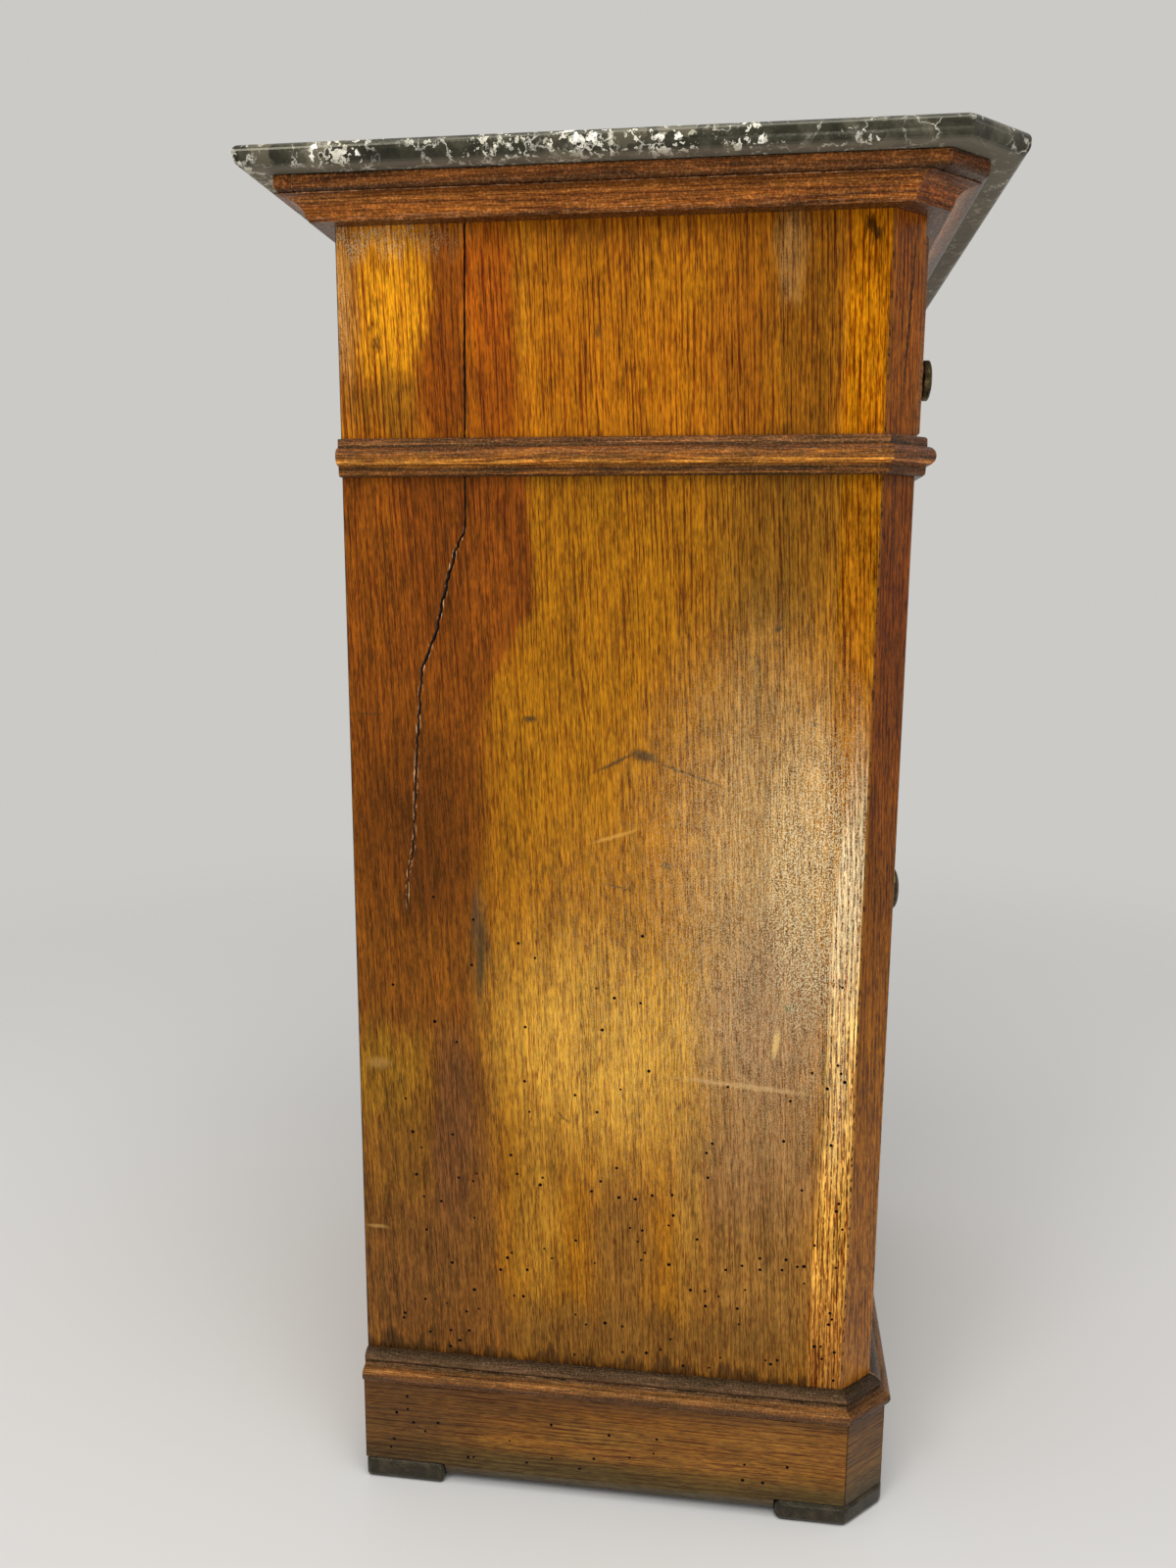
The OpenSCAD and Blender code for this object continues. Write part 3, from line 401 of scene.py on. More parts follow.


# Old shellac on oak: amber that darkened in runs, rubbed patches, scuffs and a milky, sparkling bloom that is
# partly painted reflection.
def side_oak(name, corner=False):
    """On the side board, or at the corner on the post in front of it."""
    material, tree, place, grain, lines, pores = new_wood(name, "leaning")
    # Runs of colour follow the grain: their edges are torn a few mm across it and far along it.
    blurred = shifted(tree, place, streaks(tree, grain, 8, 40, 4.0, 0.65), (0, 18, 60))
    axis = add(tree, "SeparateXYZ", {"Vector": place})
    height = axis.outputs["Z"]
    if not corner:
        # the rings are fainter low down, where the varnish is worn and dirty
        faint = add(tree, "MapRange", {"Value": height, "From Min": 400, "From Max": 640, "To Min": 0.5})
        lines = add(tree, "Math", {0: lines, 1: faint}, operation="MULTIPLY")
    # what lies wholly on the board isn't added to the post
    joint = POST_BACK if corner else ENDLESS
    colour = patched(tree, blurred, by_height(tree, place, SIDE_TONES), in_front(SIDE_PATCHES, joint))
    if corner:
        colour, canted = post_colour(tree, place, blurred, colour)
    else:
        colour = darkened_back(tree, grain, blurred, height, colour)
    colour = grained(tree, grain, colour, lines, pores, blotch=0.32 if corner else 0.27)
    colour = scuffed(tree, place, colour, in_front(SCUFFS, joint))
    if not corner:
        colour = splintered(tree, place, axis, colour)
    # bloom and painted sheen in grains of the varnish: painted reflection and sparkle standing in for the
    # gloss's highlight
    peel = varnish_peel(tree, place, 0.9)
    milky_and_sheen = bloom_and_sheen(tree, blurred, in_front(BLOOMS_AND_PAINTED_SHEEN, joint, at=0))
    if corner:
        outer = add(tree, "Math", {0: 1.0, 1: canted}, operation="SUBTRACT")
        milky_and_sheen = add(tree, "Math", {0: milky_and_sheen, 1: outer}, operation="MULTIPLY")
    painted_sparkle = add(tree, "MapRange", {"Value": peel, "From Min": 0.48, "From Max": 0.56})
    bloom_and_painted_sheen = add(tree, "Math", {0: painted_sparkle, 1: milky_and_sheen}, operation="MULTIPLY")
    colour = add(tree, "Mix", {"Factor": bloom_and_painted_sheen, "A": colour, "B": "#dccea6"}, data_type="RGBA")
    relief = wood_relief(tree, lines, pores, peel)
    rough = add(tree, "MapRange", {"Value": milky_and_sheen, "To Min": 0.26, "To Max": 0.2})
    finish_material(tree, colour, relief, rough, depth=0.16,
                    Specular_Tint="#cc8c38" if corner else "#e8b068",
                    Specular_IOR_Level=0.3 if corner else 0.5)
    return material


def darkened_back(tree, grain, blurred, height, colour):
    """The back part of the side below the waist, where the shellac darkened in thick runs."""
    loose = add(tree, "SeparateXYZ", {"Vector": blurred})
    edge = height_curve(tree, height, DARK_EDGE, 40, 100)
    past = add(tree, "Math", {0: loose.outputs["Y"], 1: edge}, operation="SUBTRACT")
    spread = height_curve(tree, height, DARK_SPREAD, 0, 20)
    across = add(tree, "Math", {0: past, 1: spread}, operation="DIVIDE")
    behind = add(tree, "MapRange", {"Value": across, "From Min": -1, "From Max": 1},
                 interpolation_type="SMOOTHSTEP")
    below = add(tree, "MapRange", {"Value": height, "From Min": 640, "From Max": 638})
    share = add(tree, "Math", {0: behind, 1: below}, operation="MULTIPLY")
    dark = patched(tree, blurred, by_height(tree, blurred, DARK_TONES), DARK_PATCHES)
    drips = streaks(tree, grain, 3, 22, 4.0, 0.7)
    thick = add(tree, "MapRange", {"Value": drips, "From Min": 0.48, "From Max": 0.62,
                                   "To Min": 1.1, "To Max": 0.62})
    dark = add(tree, "VectorMath", {0: dark, "Scale": thick}, operation="SCALE")
    return add(tree, "Mix", {"Factor": share, "A": colour, "B": dark}, data_type="RGBA")


def splintered(tree, place, axis, colour):
    """Pale splinters beside the split, where it opened below the waist."""
    height = axis.outputs["Z"]
    crack = height_curve(tree, height, [(z, y) for z, y, _ in reversed(SPLIT)], 85, 135)
    off = add(tree, "Math", {0: axis.outputs["Y"], 1: crack}, operation="SUBTRACT")
    beside = add(tree, "Math", {0: off}, operation="ABSOLUTE")
    lip = add(tree, "MapRange", {"Value": beside, "From Min": 1.7, "From Max": 1.2})
    chips = add(tree, "MapRange", {"Value": streaks(tree, place, 1.0, 9), "From Min": 0.56, "From Max": 0.6})
    opened = add(tree, "MapRange", {"Value": height, "From Min": 608, "From Max": 600})
    ended = add(tree, "MapRange", {"Value": height, "From Min": 380, "From Max": 392})
    for share in (lip, opened, ended):
        chips = add(tree, "Math", {0: chips, 1: share}, operation="MULTIPLY")
    return add(tree, "Mix", {"Factor": chips, "A": colour, "B": "#c09468"}, data_type="RGBA")


def post_colour(tree, place, blurred, colour):
    """The post: along its outer arris a strip of pale sapwood, with dashes of open pores 2.5 mm wide and
    5 mm long in rows 3.2 mm apart; its canted and front faces kept their dark red polish. Also gives
    how far a point is on those faces."""
    axis = add(tree, "SeparateXYZ", {"Vector": place})
    height = axis.outputs["Z"]
    bound = height_curve(tree, height, STRIP_EDGE, -136, -116)
    ahead = add(tree, "Math", {0: bound, 1: axis.outputs["Y"]}, operation="SUBTRACT")
    edge = add(tree, "MapRange", {"Value": ahead, "From Min": -0.8, "From Max": 1.2})
    fades = add(tree, "MapRange", {"Value": height, "From Min": 520, "From Max": 430})
    sap = add(tree, "Math", {0: edge, 1: fades}, operation="MULTIPLY")
    ochre = by_height(tree, blurred, STRIP_TONES)
    colour = add(tree, "Mix", {"Factor": sap, "A": colour, "B": ochre}, data_type="RGBA")
    turns = add(tree, "Math", {0: axis.outputs["Y"], 1: 2 * math.pi / 3.2}, operation="MULTIPLY")
    rows = add(tree, "Math", {0: turns}, operation="SINE")
    broken = streaks(tree, place, 2.5, 5, 1.0)
    dashes = add(tree, "Math", {0: rows, 1: 0.35, 2: broken}, operation="MULTIPLY_ADD")
    gaps = add(tree, "MapRange", {"Value": dashes, "From Min": 0.72, "From Max": 0.78})
    dashed = add(tree, "Math", {0: gaps, 1: sap}, operation="MULTIPLY")
    umber = by_height(tree, place, DASH_TONES)
    colour = add(tree, "Mix", {"Factor": dashed, "A": colour, "B": umber}, data_type="RGBA")
    facing = add(tree, "SeparateXYZ", {"Vector": add(tree, "NewGeometry").outputs["Normal"]})
    canted = add(tree, "MapRange", {"Value": facing.outputs["X"], "From Min": -0.95, "From Max": -0.8})
    polish = by_height(tree, blurred, POLISH_TONES)
    return add(tree, "Mix", {"Factor": canted, "A": colour, "B": polish}, data_type="RGBA"), canted


# The post's outer arris: polish gone along the edge, bare ochre wood with chips and hand grime.
def worn_arris(name):
    material, tree, place = new_material(name)
    colour = by_height(tree, place, ARRIS_TONES)
    bits = streaks(tree, place, 2, 4, 3.0)
    chips = add(tree, "MapRange", {"Value": bits, "From Min": 0.52, "From Max": 0.6})
    colour = add(tree, "Mix", {"Factor": chips, "A": colour, "B": "#2c1a0d"}, data_type="RGBA")
    finish_material(tree, colour, chips, 0.4, depth=-0.15, Specular_Tint="#e8b068")
    return material


# The mouldings' colours at each height, with grime and painted shade in the quirks and on faces turned down,
# and paler rubbed wood and painted highlights on the rounds.
MOULDING_TONES_LIGHT_AND_SHADE = {
    "band": ((767.7, "#562e0e"), (768.6, "#945622"), (770.5, "#a8611e"), (775, "#96541a"), (777, "#a06428"),
             (778.4, "#7c4a1a"), (779.4, "#3c1c08"), (780.4, "#482409"), (782, "#80481a"),
             (786.3, "#7c461a"), (787.8, "#301a0a")),
    "waist": ((633.9, "#2a180a"), (635.2, "#744414"), (638.0, "#402008"), (639.6, "#8c5618"),
              (641.2, "#d89238"), (643.0, "#844c0c"), (646.5, "#76420e"), (649, "#643610"),
              (650.4, "#341c08"), (651.6, "#784c26"), (653.4, "#683c1a"), (654.7, "#40200c")),
    "base": ((69.2, "#5a3414"), (70.5, "#84521e"), (72.2, "#482810"), (74.5, "#583418"), (76.3, "#70441c"),
             (77.8, "#7a4e20"), (79, "#563618"), (80.4, "#28180c"), (81.8, "#26170a"), (82.8, "#58402c"),
             (84.5, "#402a1c"), (87.3, "#2a1c12")),
}
# How much painted glint the varnish gets, the lightest and darkest streak, and the painted shade of the
# mitred corners.
PAINTED_GLINTS = {"band": 0.95, "waist": 0.7, "base": 0.3}
RUNS = {"band": (1.16, 0.76), "waist": (1.55, 0.5), "base": (1.35, 0.6)}
CORNER_PAINTED_SHADE = {"band": (0.66, 0.52, 0.46), "waist": (0.62, 0.5, 0.44), "base": (0.42, 0.4, 0.42)}


# Stained hardwood under crackled varnish: dark red-brown, with painted glints for the wet-looking sparkle.
def moulding_wood(name, way, kind, rubbed=0.0):
    """rubbed is how much of it hands and dusters wore down to pale wood."""
    material, tree, place, grain, lines, pores = new_wood(name, way)
    # the colours by height carry painted shade and painted highlights across the profile
    colour = by_height(tree, place, MOULDING_TONES_LIGHT_AND_SHADE[kind])
    if rubbed:
        scuff = add(tree, "TexNoise", {"Vector": place, "Scale": 1 / 7, "Detail": 3.0})
        worn = add(tree, "MapRange", {"Value": scuff, "From Min": 0.42, "From Max": 0.6, "To Max": rubbed})
        colour = add(tree, "Mix", {"Factor": worn, "A": colour, "B": "#b98a66"}, data_type="RGBA")
    colour = grained(tree, grain, colour, lines, pores, "#a07c66", "#b8987e", 0.28)
    pale, deep = RUNS[kind]
    run = add(tree, "MapRange", {"Value": streaks(tree, grain, 2, 40, 4.0, 0.7), "From Min": 0.38,
                                 "From Max": 0.62, "To Min": pale, "To Max": deep})
    colour = add(tree, "VectorMath", {0: colour, "Scale": run}, operation="SCALE")
    if way == "corner":
        # painted shade: the mitred corner pieces are made darker and redder, as where shade falls round the
        # corner
        colour = add(tree, "VectorMath", {0: colour, 1: CORNER_PAINTED_SHADE[kind]}, operation="MULTIPLY")
    # painted glints: the colour is lightened in grains of the crackled varnish a millimetre and a half
    # across, as painted highlights
    peel = varnish_peel(tree, place, 1.5)
    painted_glint = add(tree, "MapRange", {"Value": peel, "From Min": 0.53, "From Max": 0.6, "To Max": PAINTED_GLINTS[kind]})
    painted_highlight = add(tree, "VectorMath", {0: colour, 1: (1.8, 1.75, 1.8), 2: (0.05, 0.034, 0.018)},
              operation="MULTIPLY_ADD")
    colour = add(tree, "Mix", {"Factor": painted_glint, "A": colour, "B": painted_highlight}, data_type="RGBA")
    cells = add(tree, "TexVoronoi", {"Vector": place, "Scale": 1 / 2.2}, feature="DISTANCE_TO_EDGE")
    net = add(tree, "MapRange", {"Value": cells, "From Max": 0.12})
    crackle = add(tree, "Math", {0: net, 1: 0.4, 2: peel}, operation="MULTIPLY_ADD")
    rough = add(tree, "MapRange", {"Value": peel, "To Min": 0.15, "To Max": 0.4})
    finish_material(tree, colour, wood_relief(tree, lines, pores, crackle, 1.0), rough, depth=0.3,
                    Specular_Tint="#f0cc98")
    return material


# The plinth's colours at each height, and its stains.
PLINTH_TONES = ((5.5, "#3a3426"), (8, "#45402f"), (11, "#4c4534"), (14, "#4a3c20"), (18, "#4e3c1a"),
                (24, "#65481a"), (34, "#86581c"), (44, "#764a18"), (60, "#744714"), (69.2, "#59381c"))
PLINTH_PATCHES = (  # colour, middle y and z, half width and height, how much, how soft
    ("#46301a", 138, 40, 50, 34, 0.7, 0.7),
    ("#8c6026", -95, 54, 45, 12, 0.6, 0.8),
    ("#8a5a26", -30, 33, 60, 5, 0.5, 0.8),
    ("#44391f", 40, 20, 70, 8, 0.7, 0.8),
    ("#4a3218", 70, 58, 30, 6, 0.6, 0.8),
    ("#86642a", 10, 46, 34, 8, 0.5, 0.8),
    ("#40341c", -110, 18, 40, 6, 0.6, 0.8),
)


# Waxed oak of the plinth: brown, dull and stained, darker along the foot.
def plinth_wood(name, way):
    material, tree, place, grain, lines, pores = new_wood(name, way)
    blurred = shifted(tree, place, streaks(tree, grain, 6, 40, 4.0, 0.65), (60, 60, 6))
    colour = patched(tree, blurred, by_height(tree, place, PLINTH_TONES), PLINTH_PATCHES)
    if way == "corner":
        colour = add(tree, "VectorMath", {0: colour, 1: (0.58, 0.62, 0.62)}, operation="MULTIPLY")
    colour = grained(tree, grain, colour, lines, pores, blotch=0.24)
    peel = varnish_peel(tree, place)
    finish_material(tree, colour, wood_relief(tree, lines, pores, peel), 0.36, depth=0.16,
                    Specular_Tint="#e8bc80")
    return material


# Oak broken open by the split and the beetle: unpolished, brown-black with dirt and with painted shade deep
# in the split and holes.
def split_wood(name):
    material, tree, place = new_material(name)
    dirt = add(tree, "TexNoise", {"Vector": place, "Scale": 1 / 3, "Detail": 3.0})
    # the near-black is partly painted shade inside the split and holes
    colour = add(tree, "ValToRGB", {0: dirt}, stops=[(0.35, "#0c0603"), (0.7, "#24140a")])
    finish_material(tree, colour, dirt, 0.8, depth=0.2)
    return material


# Ebonised beech: black stain worn to brown, nearly matt.
def ebonised_wood(name):
    material, tree, place, grain, lines, pores = new_wood(name, "wide")
    dust = add(tree, "TexNoise", {"Vector": place, "Scale": 1 / 7, "Detail": 4.0})
    tone = add(tree, "MapRange", {"Value": dust, "From Min": 0.4, "From Max": 0.7})
    base = add(tree, "Mix", {"Factor": tone, "A": "#1a1610", "B": "#3a3226"}, data_type="RGBA")
    colour = grained(tree, grain, base, lines, pores)
    peel = varnish_peel(tree, place, 1.5)
    finish_material(tree, colour, wood_relief(tree, lines, pores, peel), 0.3, depth=0.15,
                    Specular_Tint="#d8d0b0")
    return material


# Planed pine inside: pale honey, raw and matt, a little dirty.
def raw_pine(name, way):
    material, tree, place, grain, lines, pores = new_wood(name, way, ring=5.0)
    dirt = streaks(tree, grain, 50, 180, 4.0, 0.5)
    tone = add(tree, "MapRange", {"Value": dirt, "From Min": 0.4, "From Max": 0.7})
    base = add(tree, "Mix", {"Factor": tone, "A": "#c89c66", "B": "#a0743f"}, data_type="RGBA")
    colour = grained(tree, grain, base, lines, pores, "#e0c8ac", "#dcc8ae", 0.12)
    peel = varnish_peel(tree, place, 0.8)
    finish_material(tree, colour, wood_relief(tree, lines, pores, peel), 0.62, depth=0.1)
    return material


# ------------ marble and metal

SHARDS = (  # the marble's fragments: size, where they start to show and their two tints
    (12, 1.28, "#6a6352", "#3e3b2c"),
    (4.2, 1.44, "#faf6ea", "#cfc9b4"),
    (2.0, 1.42, "#e6e0cf", "#a8a28c"),
)


# Polished breccia marble: near-black green-grey ground with clouds, broken white shards that crowd
# into trains, mid-grey fragments and thin white veins. Only the top and edges are polished.
def breccia_marble(name):
    material, tree, place = new_material(name)
    bend = add(tree, "TexNoise", {"Vector": place, "Scale": 1 / 9, "Detail": 4.0, "Roughness": 0.65})
    bent = shifted(tree, place, bend, (16, 16, 16))
    ground = add(tree, "TexNoise", {"Vector": bent, "Scale": 1 / 22, "Detail": 6.0, "Roughness": 0.7})
    colour = add(tree, "ValToRGB", {0: ground}, stops=[
        (0.36, "#16160f"), (0.5, "#2c2a20"), (0.62, "#484437"), (0.74, "#665f4e")])
    # the trains of shards lie in the back two thirds
    trains = add(tree, "TexNoise", {"Vector": place, "Scale": 1 / 38})
    along = add(tree, "SeparateXYZ", {"Vector": place})
    fewer = add(tree, "MapRange", {"Value": along.outputs["Y"], "From Min": -20, "From Max": -150,
                                   "To Max": -0.1})
    crowd = add(tree, "Math", {0: trains, 1: fewer}, operation="ADD")
    for size, start, light, dark in SHARDS:
        shards = add(tree, "TexVoronoi", {"Vector": bent, "Scale": 1 / size})
        pick = add(tree, "SeparateColor", {"Color": shards.outputs["Color"]})
        level = add(tree, "Math", {0: pick.outputs["Red"], 1: crowd}, operation="ADD")
        share = add(tree, "MapRange", {"Value": level, "From Min": start, "From Max": start + 0.02})
        tint = add(tree, "Mix", {"Factor": pick.outputs["Green"], "A": light, "B": dark}, data_type="RGBA")
        colour = add(tree, "Mix", {"Factor": share, "A": colour, "B": tint}, data_type="RGBA")
    cracks = add(tree, "TexVoronoi", {"Vector": bent, "Scale": 1 / 17}, feature="DISTANCE_TO_EDGE")
    thin = add(tree, "MapRange", {"Value": cracks, "From Min": 0.035, "From Max": 0.0})
    patchy = add(tree, "TexNoise", {"Vector": place, "Scale": 1 / 14})
    shown = add(tree, "MapRange", {"Value": patchy, "From Min": 0.46, "From Max": 0.6})
    vein = add(tree, "Math", {0: thin, 1: shown}, operation="MULTIPLY")
    colour = add(tree, "Mix", {"Factor": vein, "A": colour, "B": "#cfcabb"}, data_type="RGBA")
    # the underside is sawn and dusty
    facing = add(tree, "SeparateXYZ", {"Vector": add(tree, "NewGeometry").outputs["Normal"]})
    under = add(tree, "MapRange", {"Value": facing.outputs["Z"], "From Min": -0.7, "From Max": -0.95})
    dusty = add(tree, "Mix", {"Factor": 0.5, "A": colour, "B": "#8a8272"}, data_type="RGBA")
    colour = add(tree, "Mix", {"Factor": under, "A": colour, "B": dusty}, data_type="RGBA")
    rough = add(tree, "MapRange", {"Value": under, "To Min": 0.18, "To Max": 0.75})
    fine = add(tree, "TexNoise", {"Vector": place, "Scale": 1 / 2.5, "Detail": 3.0})
    finish_material(tree, colour, fine, rough, depth=0.06, Specular_Tint="#dcd8c0")
    return material


# Old metal in spots, bare where it is rubbed and dull under its skin: turned bronze under brown patina,
# sheet brass worn yellow, and wrought iron blacked at the forge.
def patinated_metal(name, bare, skin, rough):
    material, tree, place = new_material(name)
    spots = add(tree, "TexNoise", {"Vector": place, "Scale": 1 / 4, "Detail": 5.0, "Roughness": 0.7})
    tone = add(tree, "MapRange", {"Value": spots, "From Min": 0.4, "From Max": 0.66})
    colour = add(tree, "Mix", {"Factor": tone, "A": bare, "B": skin}, data_type="RGBA")
    dull = add(tree, "MapRange", {"Value": tone, "To Min": rough - 0.12, "To Max": rough + 0.15})
    finish_material(tree, colour, spots, dull, depth=0.05, Metallic=1.0)
    return material


# ------------ damage cut into the wood

PROUD = 0.5  # how far a cutter starts outside the face that it cuts


def shell(name, points, faces):
    """A mesh object from arrays of points in millimetres and faces, its faces turned outwards."""
    mesh = bpy.data.meshes.new(name)
    mesh.from_pydata((points * MM).tolist(), [], faces)
    work = bmesh.new()
    work.from_mesh(mesh)
    bmesh.ops.recalc_face_normals(work, faces=work.faces)
    work.to_mesh(mesh)
    work.free()
    piece = bpy.data.objects.new(name, mesh)
    bpy.context.scene.collection.objects.link(piece)
    return piece


def split_wedge():
    """The split as a solid wedge: at each 2.5 mm down the path, read off between the named points and
    jogged sideways as torn fibres are, a V whose mouth has the split's width and lies just outside the
    board and whose root lies 5 mm inside it."""
    opens, torn, straight = 605, 0.55, 0.12  # below this height it jogs by more
    heights, places, widths = np.array(SPLIT).T
    z = np.arange(heights[0], heights[-1], -2.5)
    y = np.interp(-z, -heights, places)
    width = np.interp(-z, -heights, widths)
    random = np.random.default_rng(11)
    y = y + np.where(z < opens, torn, straight) * random.uniform(-1, 1, z.size)
    width = width * random.uniform(0.75, 1.25, z.size)
    mouth = np.full_like(z, SIDE_X - PROUD)
    root = np.full_like(z, SIDE_X + 5.0)
    rows = [np.stack([mouth, y + width / 2, z], -1), np.stack([mouth, y - width / 2, z], -1),
            np.stack([root, y + 0.3, z], -1)]
    count = z.size
    step = np.arange(count - 1)
    faces = [np.stack([i * count + step, i * count + step + 1, j * count + step + 1, j * count + step], -1)
             for i, j in ((0, 1), (1, 2), (2, 0))]
    ends = [[0, count, 2 * count], [count - 1, 3 * count - 1, 2 * count - 1]]
    return shell("split", np.concatenate(rows), np.concatenate(faces).tolist() + ends)


def worm_holes(name, face_x, heights, places, count, seed):
    """Flight holes of furniture beetle: seven-sided drillings 1.5 to 2.5 mm wide and 2.5 mm deep in a side
    face, scattered at random between two places and, more thickly towards the foot, two heights."""
    (low, high), (near, far) = heights, places
    random = np.random.default_rng(seed)
    y = random.uniform(near, far, count)
    z = low + (high - low) * random.beta(1.0, 1.9, count)
    radius = random.uniform(0.75, 1.25, count)
    # a hole that would lie within 3.5 mm of an earlier one is left out, so that no two run together
    later = 1000 * np.triu(np.ones((count, count)))
    gaps = np.hypot(y[:, None] - y, z[:, None] - z) + later
    alone = gaps.min(1) > 3.5
    y, z, radius = y[alone], z[alone], radius[alone]
    sides = 7
    around = np.arange(sides)
    turn = around * 2 * np.pi / sides
    ring_y = y[:, None] + radius[:, None] * np.cos(turn)
    ring_z = z[:, None] + radius[:, None] * np.sin(turn)
    layers = [np.stack([np.full_like(ring_y, x), ring_y, ring_z], -1) for x in (face_x - PROUD, face_x + 2.5)]
    points = np.concatenate(layers, 1).reshape(-1, 3)
    wall = np.stack([around, (around + 1) % sides, (around + 1) % sides + sides, around + sides], -1)
    start = (np.arange(y.size) * 2 * sides)[:, None, None]
    walls = (wall + start).reshape(-1, 4).tolist()
    ends = (around + np.arange(2 * y.size)[:, None] * sides).tolist()
    return shell(name, points, walls + ends)


# ------------ eased pieces

WELD = 0.002  # corners nearer than this are one
NEAR = 0.01  # a corner nearer than this to a plane lies in it
LEVEL = math.radians(0.4)  # faces that turn by less than this are one
ARRIS = math.radians(35)  # an edge that turns by more than this is an arris
KNOB_REACH = 36  # how far the modelled door knob stands off the door
KNOB_NECK = 24  # how much of that is its neck
KNOB_MORE = 6  # how much the neck is lengthened: the photograph shows the knob's rim just past the post


def body_of(name):
    """The name of the body that a node belongs to."""
    return next(b for b, nodes in frame["record"]["behaviour"]["bodies"].items() if name in nodes)


def drawn_out(mesh, seat, neck, more):
    """Lengthens a knob's neck, whose seat is the plane y = seat and whose head starts so far from it: t
    from the seat becomes t (1 + more / neck) along the neck and t + more at the head, in millimetres."""
    far = 100
    points = np.empty(len(mesh.vertices) * 3)
    mesh.vertices.foreach_get("co", points)
    points = points.reshape(-1, 3)
    reach = seat - points[:, 1] / MM
    drawn = np.interp(reach, (-far, 0, neck, far), (-far, 0, neck + more, far + more))
    points[:, 1] = (seat - drawn) * MM
    mesh.vertices.foreach_set("co", points.ravel())


def marked_copy(name, flush):
    """A copy of the named node's mesh whose arrises are marked for easing, but not those in the plane
    y = flush, where it is glued up level with its neighbour."""
    work = bmesh.new()
    work.from_mesh(frame["nodes"][name].data)
    bmesh.ops.remove_doubles(work, verts=work.verts, dist=WELD * MM)
    bmesh.ops.dissolve_limit(work, angle_limit=LEVEL, verts=work.verts, edges=work.edges)
    eased = work.edges.layers.float.new("bevel_weight_edge")
    for edge in work.edges:
        glued = flush is not None and all(abs(v.co.y / MM - flush) < NEAR for v in edge.verts)
        edge[eased] = float(edge.calc_face_angle(0.0) > ARRIS and not glued)
    mesh = bpy.data.meshes.new(name + "_eased")
    work.to_mesh(mesh)
    work.free()
    return mesh


def cut_away(piece, cutters, inside):
    """Takes the cutters out of a piece for good, shows the inside there and removes the cutters."""
    for cutter in cutters:
        cutter.data.materials.append(inside)
        cut = piece.modifiers.new(cutter.name, "BOOLEAN")
        cut.object = cutter
        cut.solver = "MANIFOLD"
        cut.material_mode = "TRANSFER"
    bpy.context.view_layer.update()
    shaped = bpy.data.meshes.new_from_object(piece.evaluated_get(bpy.context.evaluated_depsgraph_get()))
    piece.modifiers.clear()
    piece.data = shaped
    for cutter in cutters:
        bpy.data.objects.remove(cutter)


def eased_copy(name, radius, made, rubbed, cutters, inside, flush):
    """The named node's own solid with each arris rounded by the radius, as sanding and use leave it. The
    rounded arrises take the rubbed material, and where the cutters went in it shows the inside."""
    mesh = marked_copy(name, flush)
    if name == "door_knob":
        drawn_out(mesh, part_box(name)[0].y / MM + KNOB_REACH, KNOB_NECK, KNOB_MORE)
    for material in (made, rubbed):
        mesh.materials.append(material)
    mesh.shade_smooth()
    piece = bpy.data.objects.new(name + "_eased", mesh)
    bpy.context.scene.collection.objects.link(piece)
    ease = piece.modifiers.new("arris", "BEVEL")
    ease.width = radius * MM
    ease.segments = 2
    ease.limit_method = "WEIGHT"
    ease.material = 1
    if cutters:
        cut_away(piece, cutters, inside)
    piece.data.set_sharp_from_angle(angle=ARRIS)
    level = piece.modifiers.new("flat faces", "WEIGHTED_NORMAL")
    level.keep_sharp = True
    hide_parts(name)
    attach(piece, body_of(name))


# ------------ dressing

WAYS = ("wide", "deep", "corner")  # how the grain runs in what goes round the plan
LONG_IN_DEPTH = ("drawer_runners", "drawer_guides", "kickers", "shelf_cleats")
COATS = (  # how nodes' names start, their finish and the radius of their arrises; the first that fits counts
    ("marble_top", "marble", 0),
    (("band_", "cove_"), "band", 0.6),
    ("waist_", "waist", 0.5),
    ("base_rails", "pine", 0),
    ("base_", "base", 0.5),
    ("plinth_", "plinth", 1.0),
    ("foot_", "ebony", 3.0),
    ("side_board_left", "old side", 0.6),
    ("post_left", "old post", 0.8),
    (("side_board_", "post_", "door_stile", "door_panel"), "oak up", 0.8),
    (("door_rails", "drawer_front", "top_board"), "oak across", 0.8),
    (("drawer_knob", "door_knob", "knob_nut"), "bronze", 0.2),
    (("door_pivots", "pivot_plates"), "brass", 0),
    ("catch_bar", "iron", 0),
    ("", "pine", 0),
)


def way_of(name):
    """How the grain of a piece runs: up, from front to back, round a corner or across the width."""
    if name == "back_boards":
        return "up"
    if "side" in name or name in LONG_IN_DEPTH:
        return "deep"
    return "corner" if "cant" in name else "wide"


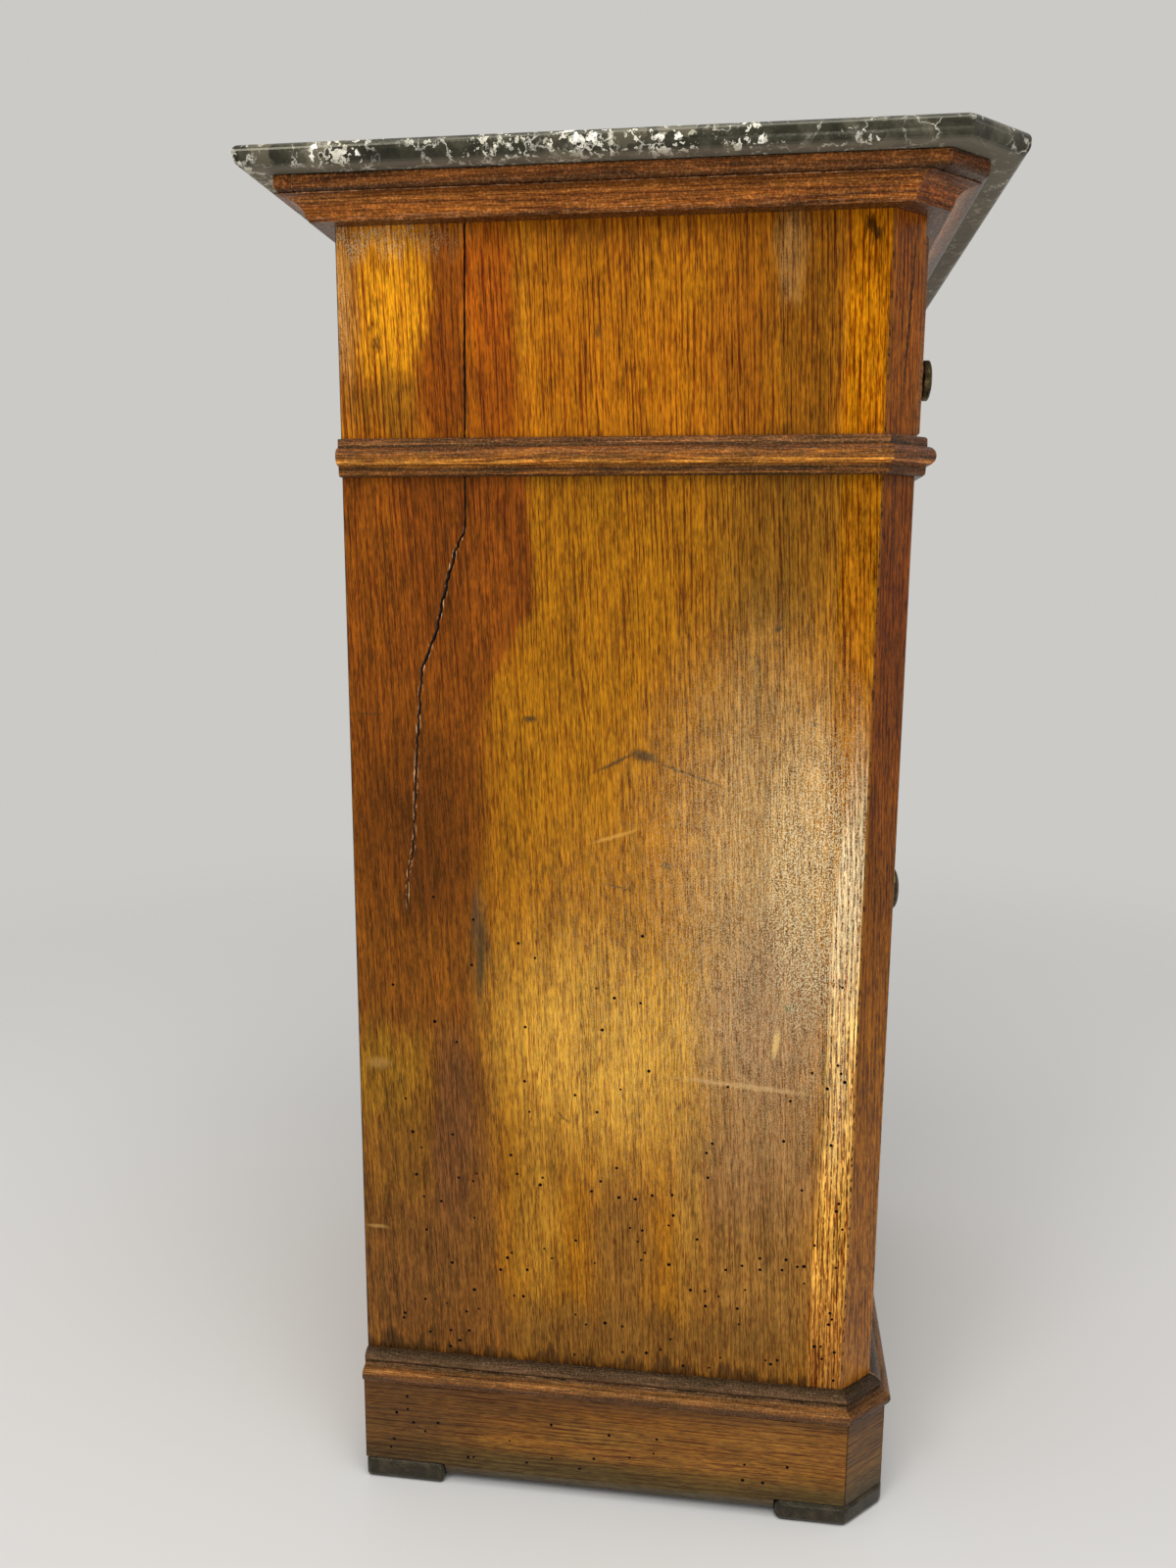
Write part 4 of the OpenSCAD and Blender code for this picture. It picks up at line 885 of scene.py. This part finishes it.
def finishes():
    """Every finish, by its name or by its name and the way of the grain: a material and that of its
    rubbed arrises."""
    made = {
        "oak up": polished_oak("french_polished_oak_upright", "up"),
        "oak across": polished_oak("french_polished_oak_across", "wide"),
        "old side": side_oak("old_shellac_on_oak_side"),
        "old post": (side_oak("old_shellac_on_oak_post", corner=True), worn_arris("worn_oak_arris")),
        "torn": split_wood("split_and_wormed_oak"),
    }
    for kind in MOULDING_TONES_LIGHT_AND_SHADE:
        for way in WAYS:
            title = f"crackled_varnish_{kind}_{way}"
            made[kind, way] = (moulding_wood(title, way, kind),
                               moulding_wood(title + "_rubbed", way, kind, rubbed=0.6))
    for way in WAYS:
        made["plinth", way] = plinth_wood("waxed_oak_plinth_" + way, way)
    made["ebony"] = ebonised_wood("ebonised_beech")
    for way in ("up", "wide", "deep"):
        made["pine", way] = raw_pine("planed_pine_" + way, way)
    made["marble"] = breccia_marble("polished_breccia_marble")
    made["bronze"] = patinated_metal("patinated_turned_bronze", "#584a30", "#211b13", 0.42)
    made["brass"] = patinated_metal("worn_sheet_brass", "#b08d4c", "#6b5430", 0.35)
    made["iron"] = patinated_metal("blacked_wrought_iron", "#57534d", "#2c2926", 0.5)
    return {key: value if isinstance(value, tuple) else (value, value) for key, value in made.items()}


def dress():
    """Gives every node its finish, and eases the arrises of the pieces that have a radius."""
    made = finishes()
    plinth_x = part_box("plinth_side_left")[0].x / MM
    cutters = {
        "side_board_left": [split_wedge(), worm_holes("side_worm", SIDE_X, (92, 420), (-114, 140), 120, 5)],
        "post_left": [worm_holes("post_worm", SIDE_X, (92, 430), (-137, -119), 20, 8)],
        "plinth_side_left": [worm_holes("plinth_worm", plinth_x, (20, 66), (-130, 150), 24, 4)],
    }
    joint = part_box("post_left")[1].y / MM
    torn = made["torn"][0]
    for name, node in frame["nodes"].items():
        coat, radius = next(row[1:] for row in COATS if name.startswith(row[0]))
        whole, rubbed = made.get((coat, way_of(name))) or made[coat]
        if radius:
            flush = joint if name.startswith(("post_", "side_board_")) else None
            eased_copy(name, radius, whole, rubbed, cutters.get(name, ()), torn, flush)
        else:
            node.data.materials.clear()
            node.data.materials.append(whole)


# ------------ floor, light and camera


# Pale studio paper that fades into the background colour with distance.
def paper_floor():
    material, tree, place = new_material("pale_paper_floor")
    away = add(tree, "VectorMath", {0: place}, operation="LENGTH").outputs["Value"]
    fade = add(tree, "MapRange", {"Value": away, "From Min": 700, "From Max": 1800},
               interpolation_type="SMOOTHSTEP")
    paper = add(tree, "BsdfPrincipled", {"Base Color": "#cfcecb", "Roughness": 0.9})
    clear = add(tree, "BsdfTransparent")
    both = add(tree, "MixShader", {0: fade, 1: paper, 2: clear})
    add(tree, "OutputMaterial", {"Surface": both})
    disc = bmesh.new()
    bmesh.ops.create_circle(disc, cap_ends=True, segments=96, radius=2.0)
    mesh = bpy.data.meshes.new("studio_floor")
    disc.to_mesh(mesh)
    disc.free()
    mesh.materials.append(material)
    floor = bpy.data.objects.new("studio_floor", mesh)
    bpy.context.scene.collection.objects.link(floor)


def studio_light():
    """Soft white light from all round, in front of a pale grey that the eye and polished faces see."""
    world = bpy.data.worlds.new("studio")
    world.use_nodes = True
    bpy.context.scene.world = world
    tree = world.node_tree
    tree.nodes.clear()
    seen = add(tree, "LightPath")
    sight = add(tree, "Math", {0: seen.outputs["Is Camera Ray"], 1: seen.outputs["Is Transmission Ray"]},
                operation="MAXIMUM")
    shown = add(tree, "Math", {0: sight, 1: seen.outputs["Is Glossy Ray"]}, operation="MAXIMUM")
    light = add(tree, "Background", {"Color": "#ffffff", "Strength": 0.55})
    paper = add(tree, "Background", {"Color": "#cbcac6"})
    both = add(tree, "MixShader", {0: shown, 1: light, 2: paper})
    add(tree, "OutputWorld", {"Surface": both})


def softbox(name, place, target, size, watts):
    """One soft light at a place, turned to a target, with its width and height, all in millimetres."""
    lamp = bpy.data.lights.new(name, "AREA")
    lamp.shape = "RECTANGLE"
    lamp.size, lamp.size_y = (s * MM for s in size)
    lamp.energy = watts
    light = bpy.data.objects.new(name, lamp)
    start = Vector(place) * MM
    light.rotation_euler = (Vector(target) * MM - start).to_track_quat("-Z", "Y").to_euler()
    light.location = start
    bpy.context.scene.collection.objects.link(light)


def camera():
    """The photograph's own viewpoint: a phone held low at the cupboard's left side."""
    viewpoint = Vector((-878.95, -72.64, 581.47))
    pitch, yaw, roll = (math.radians(a) for a in (-9.987, 7.789, 0.273))
    ahead = Vector((math.cos(pitch) * math.cos(yaw), math.cos(pitch) * math.sin(yaw), math.sin(pitch)))
    level = Vector((math.sin(yaw), -math.cos(yaw), 0))
    upright = level.cross(ahead)
    right = math.cos(roll) * level + math.sin(roll) * upright
    top = math.cos(roll) * upright - math.sin(roll) * level
    data = bpy.data.cameras.new("camera")
    data.sensor_fit = "VERTICAL"
    data.sensor_height = 24.0
    data.lens = 18.40
    data.clip_start = 10 * MM
    eye = bpy.data.objects.new("camera", data)
    turn = Matrix((right, top, -ahead)).transposed().to_4x4()
    eye.matrix_world = Matrix.Translation(viewpoint * MM) @ turn
    bpy.context.scene.collection.objects.link(eye)
    bpy.context.scene.camera = eye


camera()
paper_floor()
studio_light()
softbox("overhead_softbox", (-900, -200, 2500), (-100, 0, 400), (1800, 1800), 42)
softbox("high_window", (-1900, 1000, 2100), (-200, 0, 420), (700, 700), 14)
softbox("low_reflected_light", (-1655, -205, 165), (-200, -110, 430), (260, 280), 4.5)
bpy.context.scene.view_settings.view_transform = "Standard"
dress()
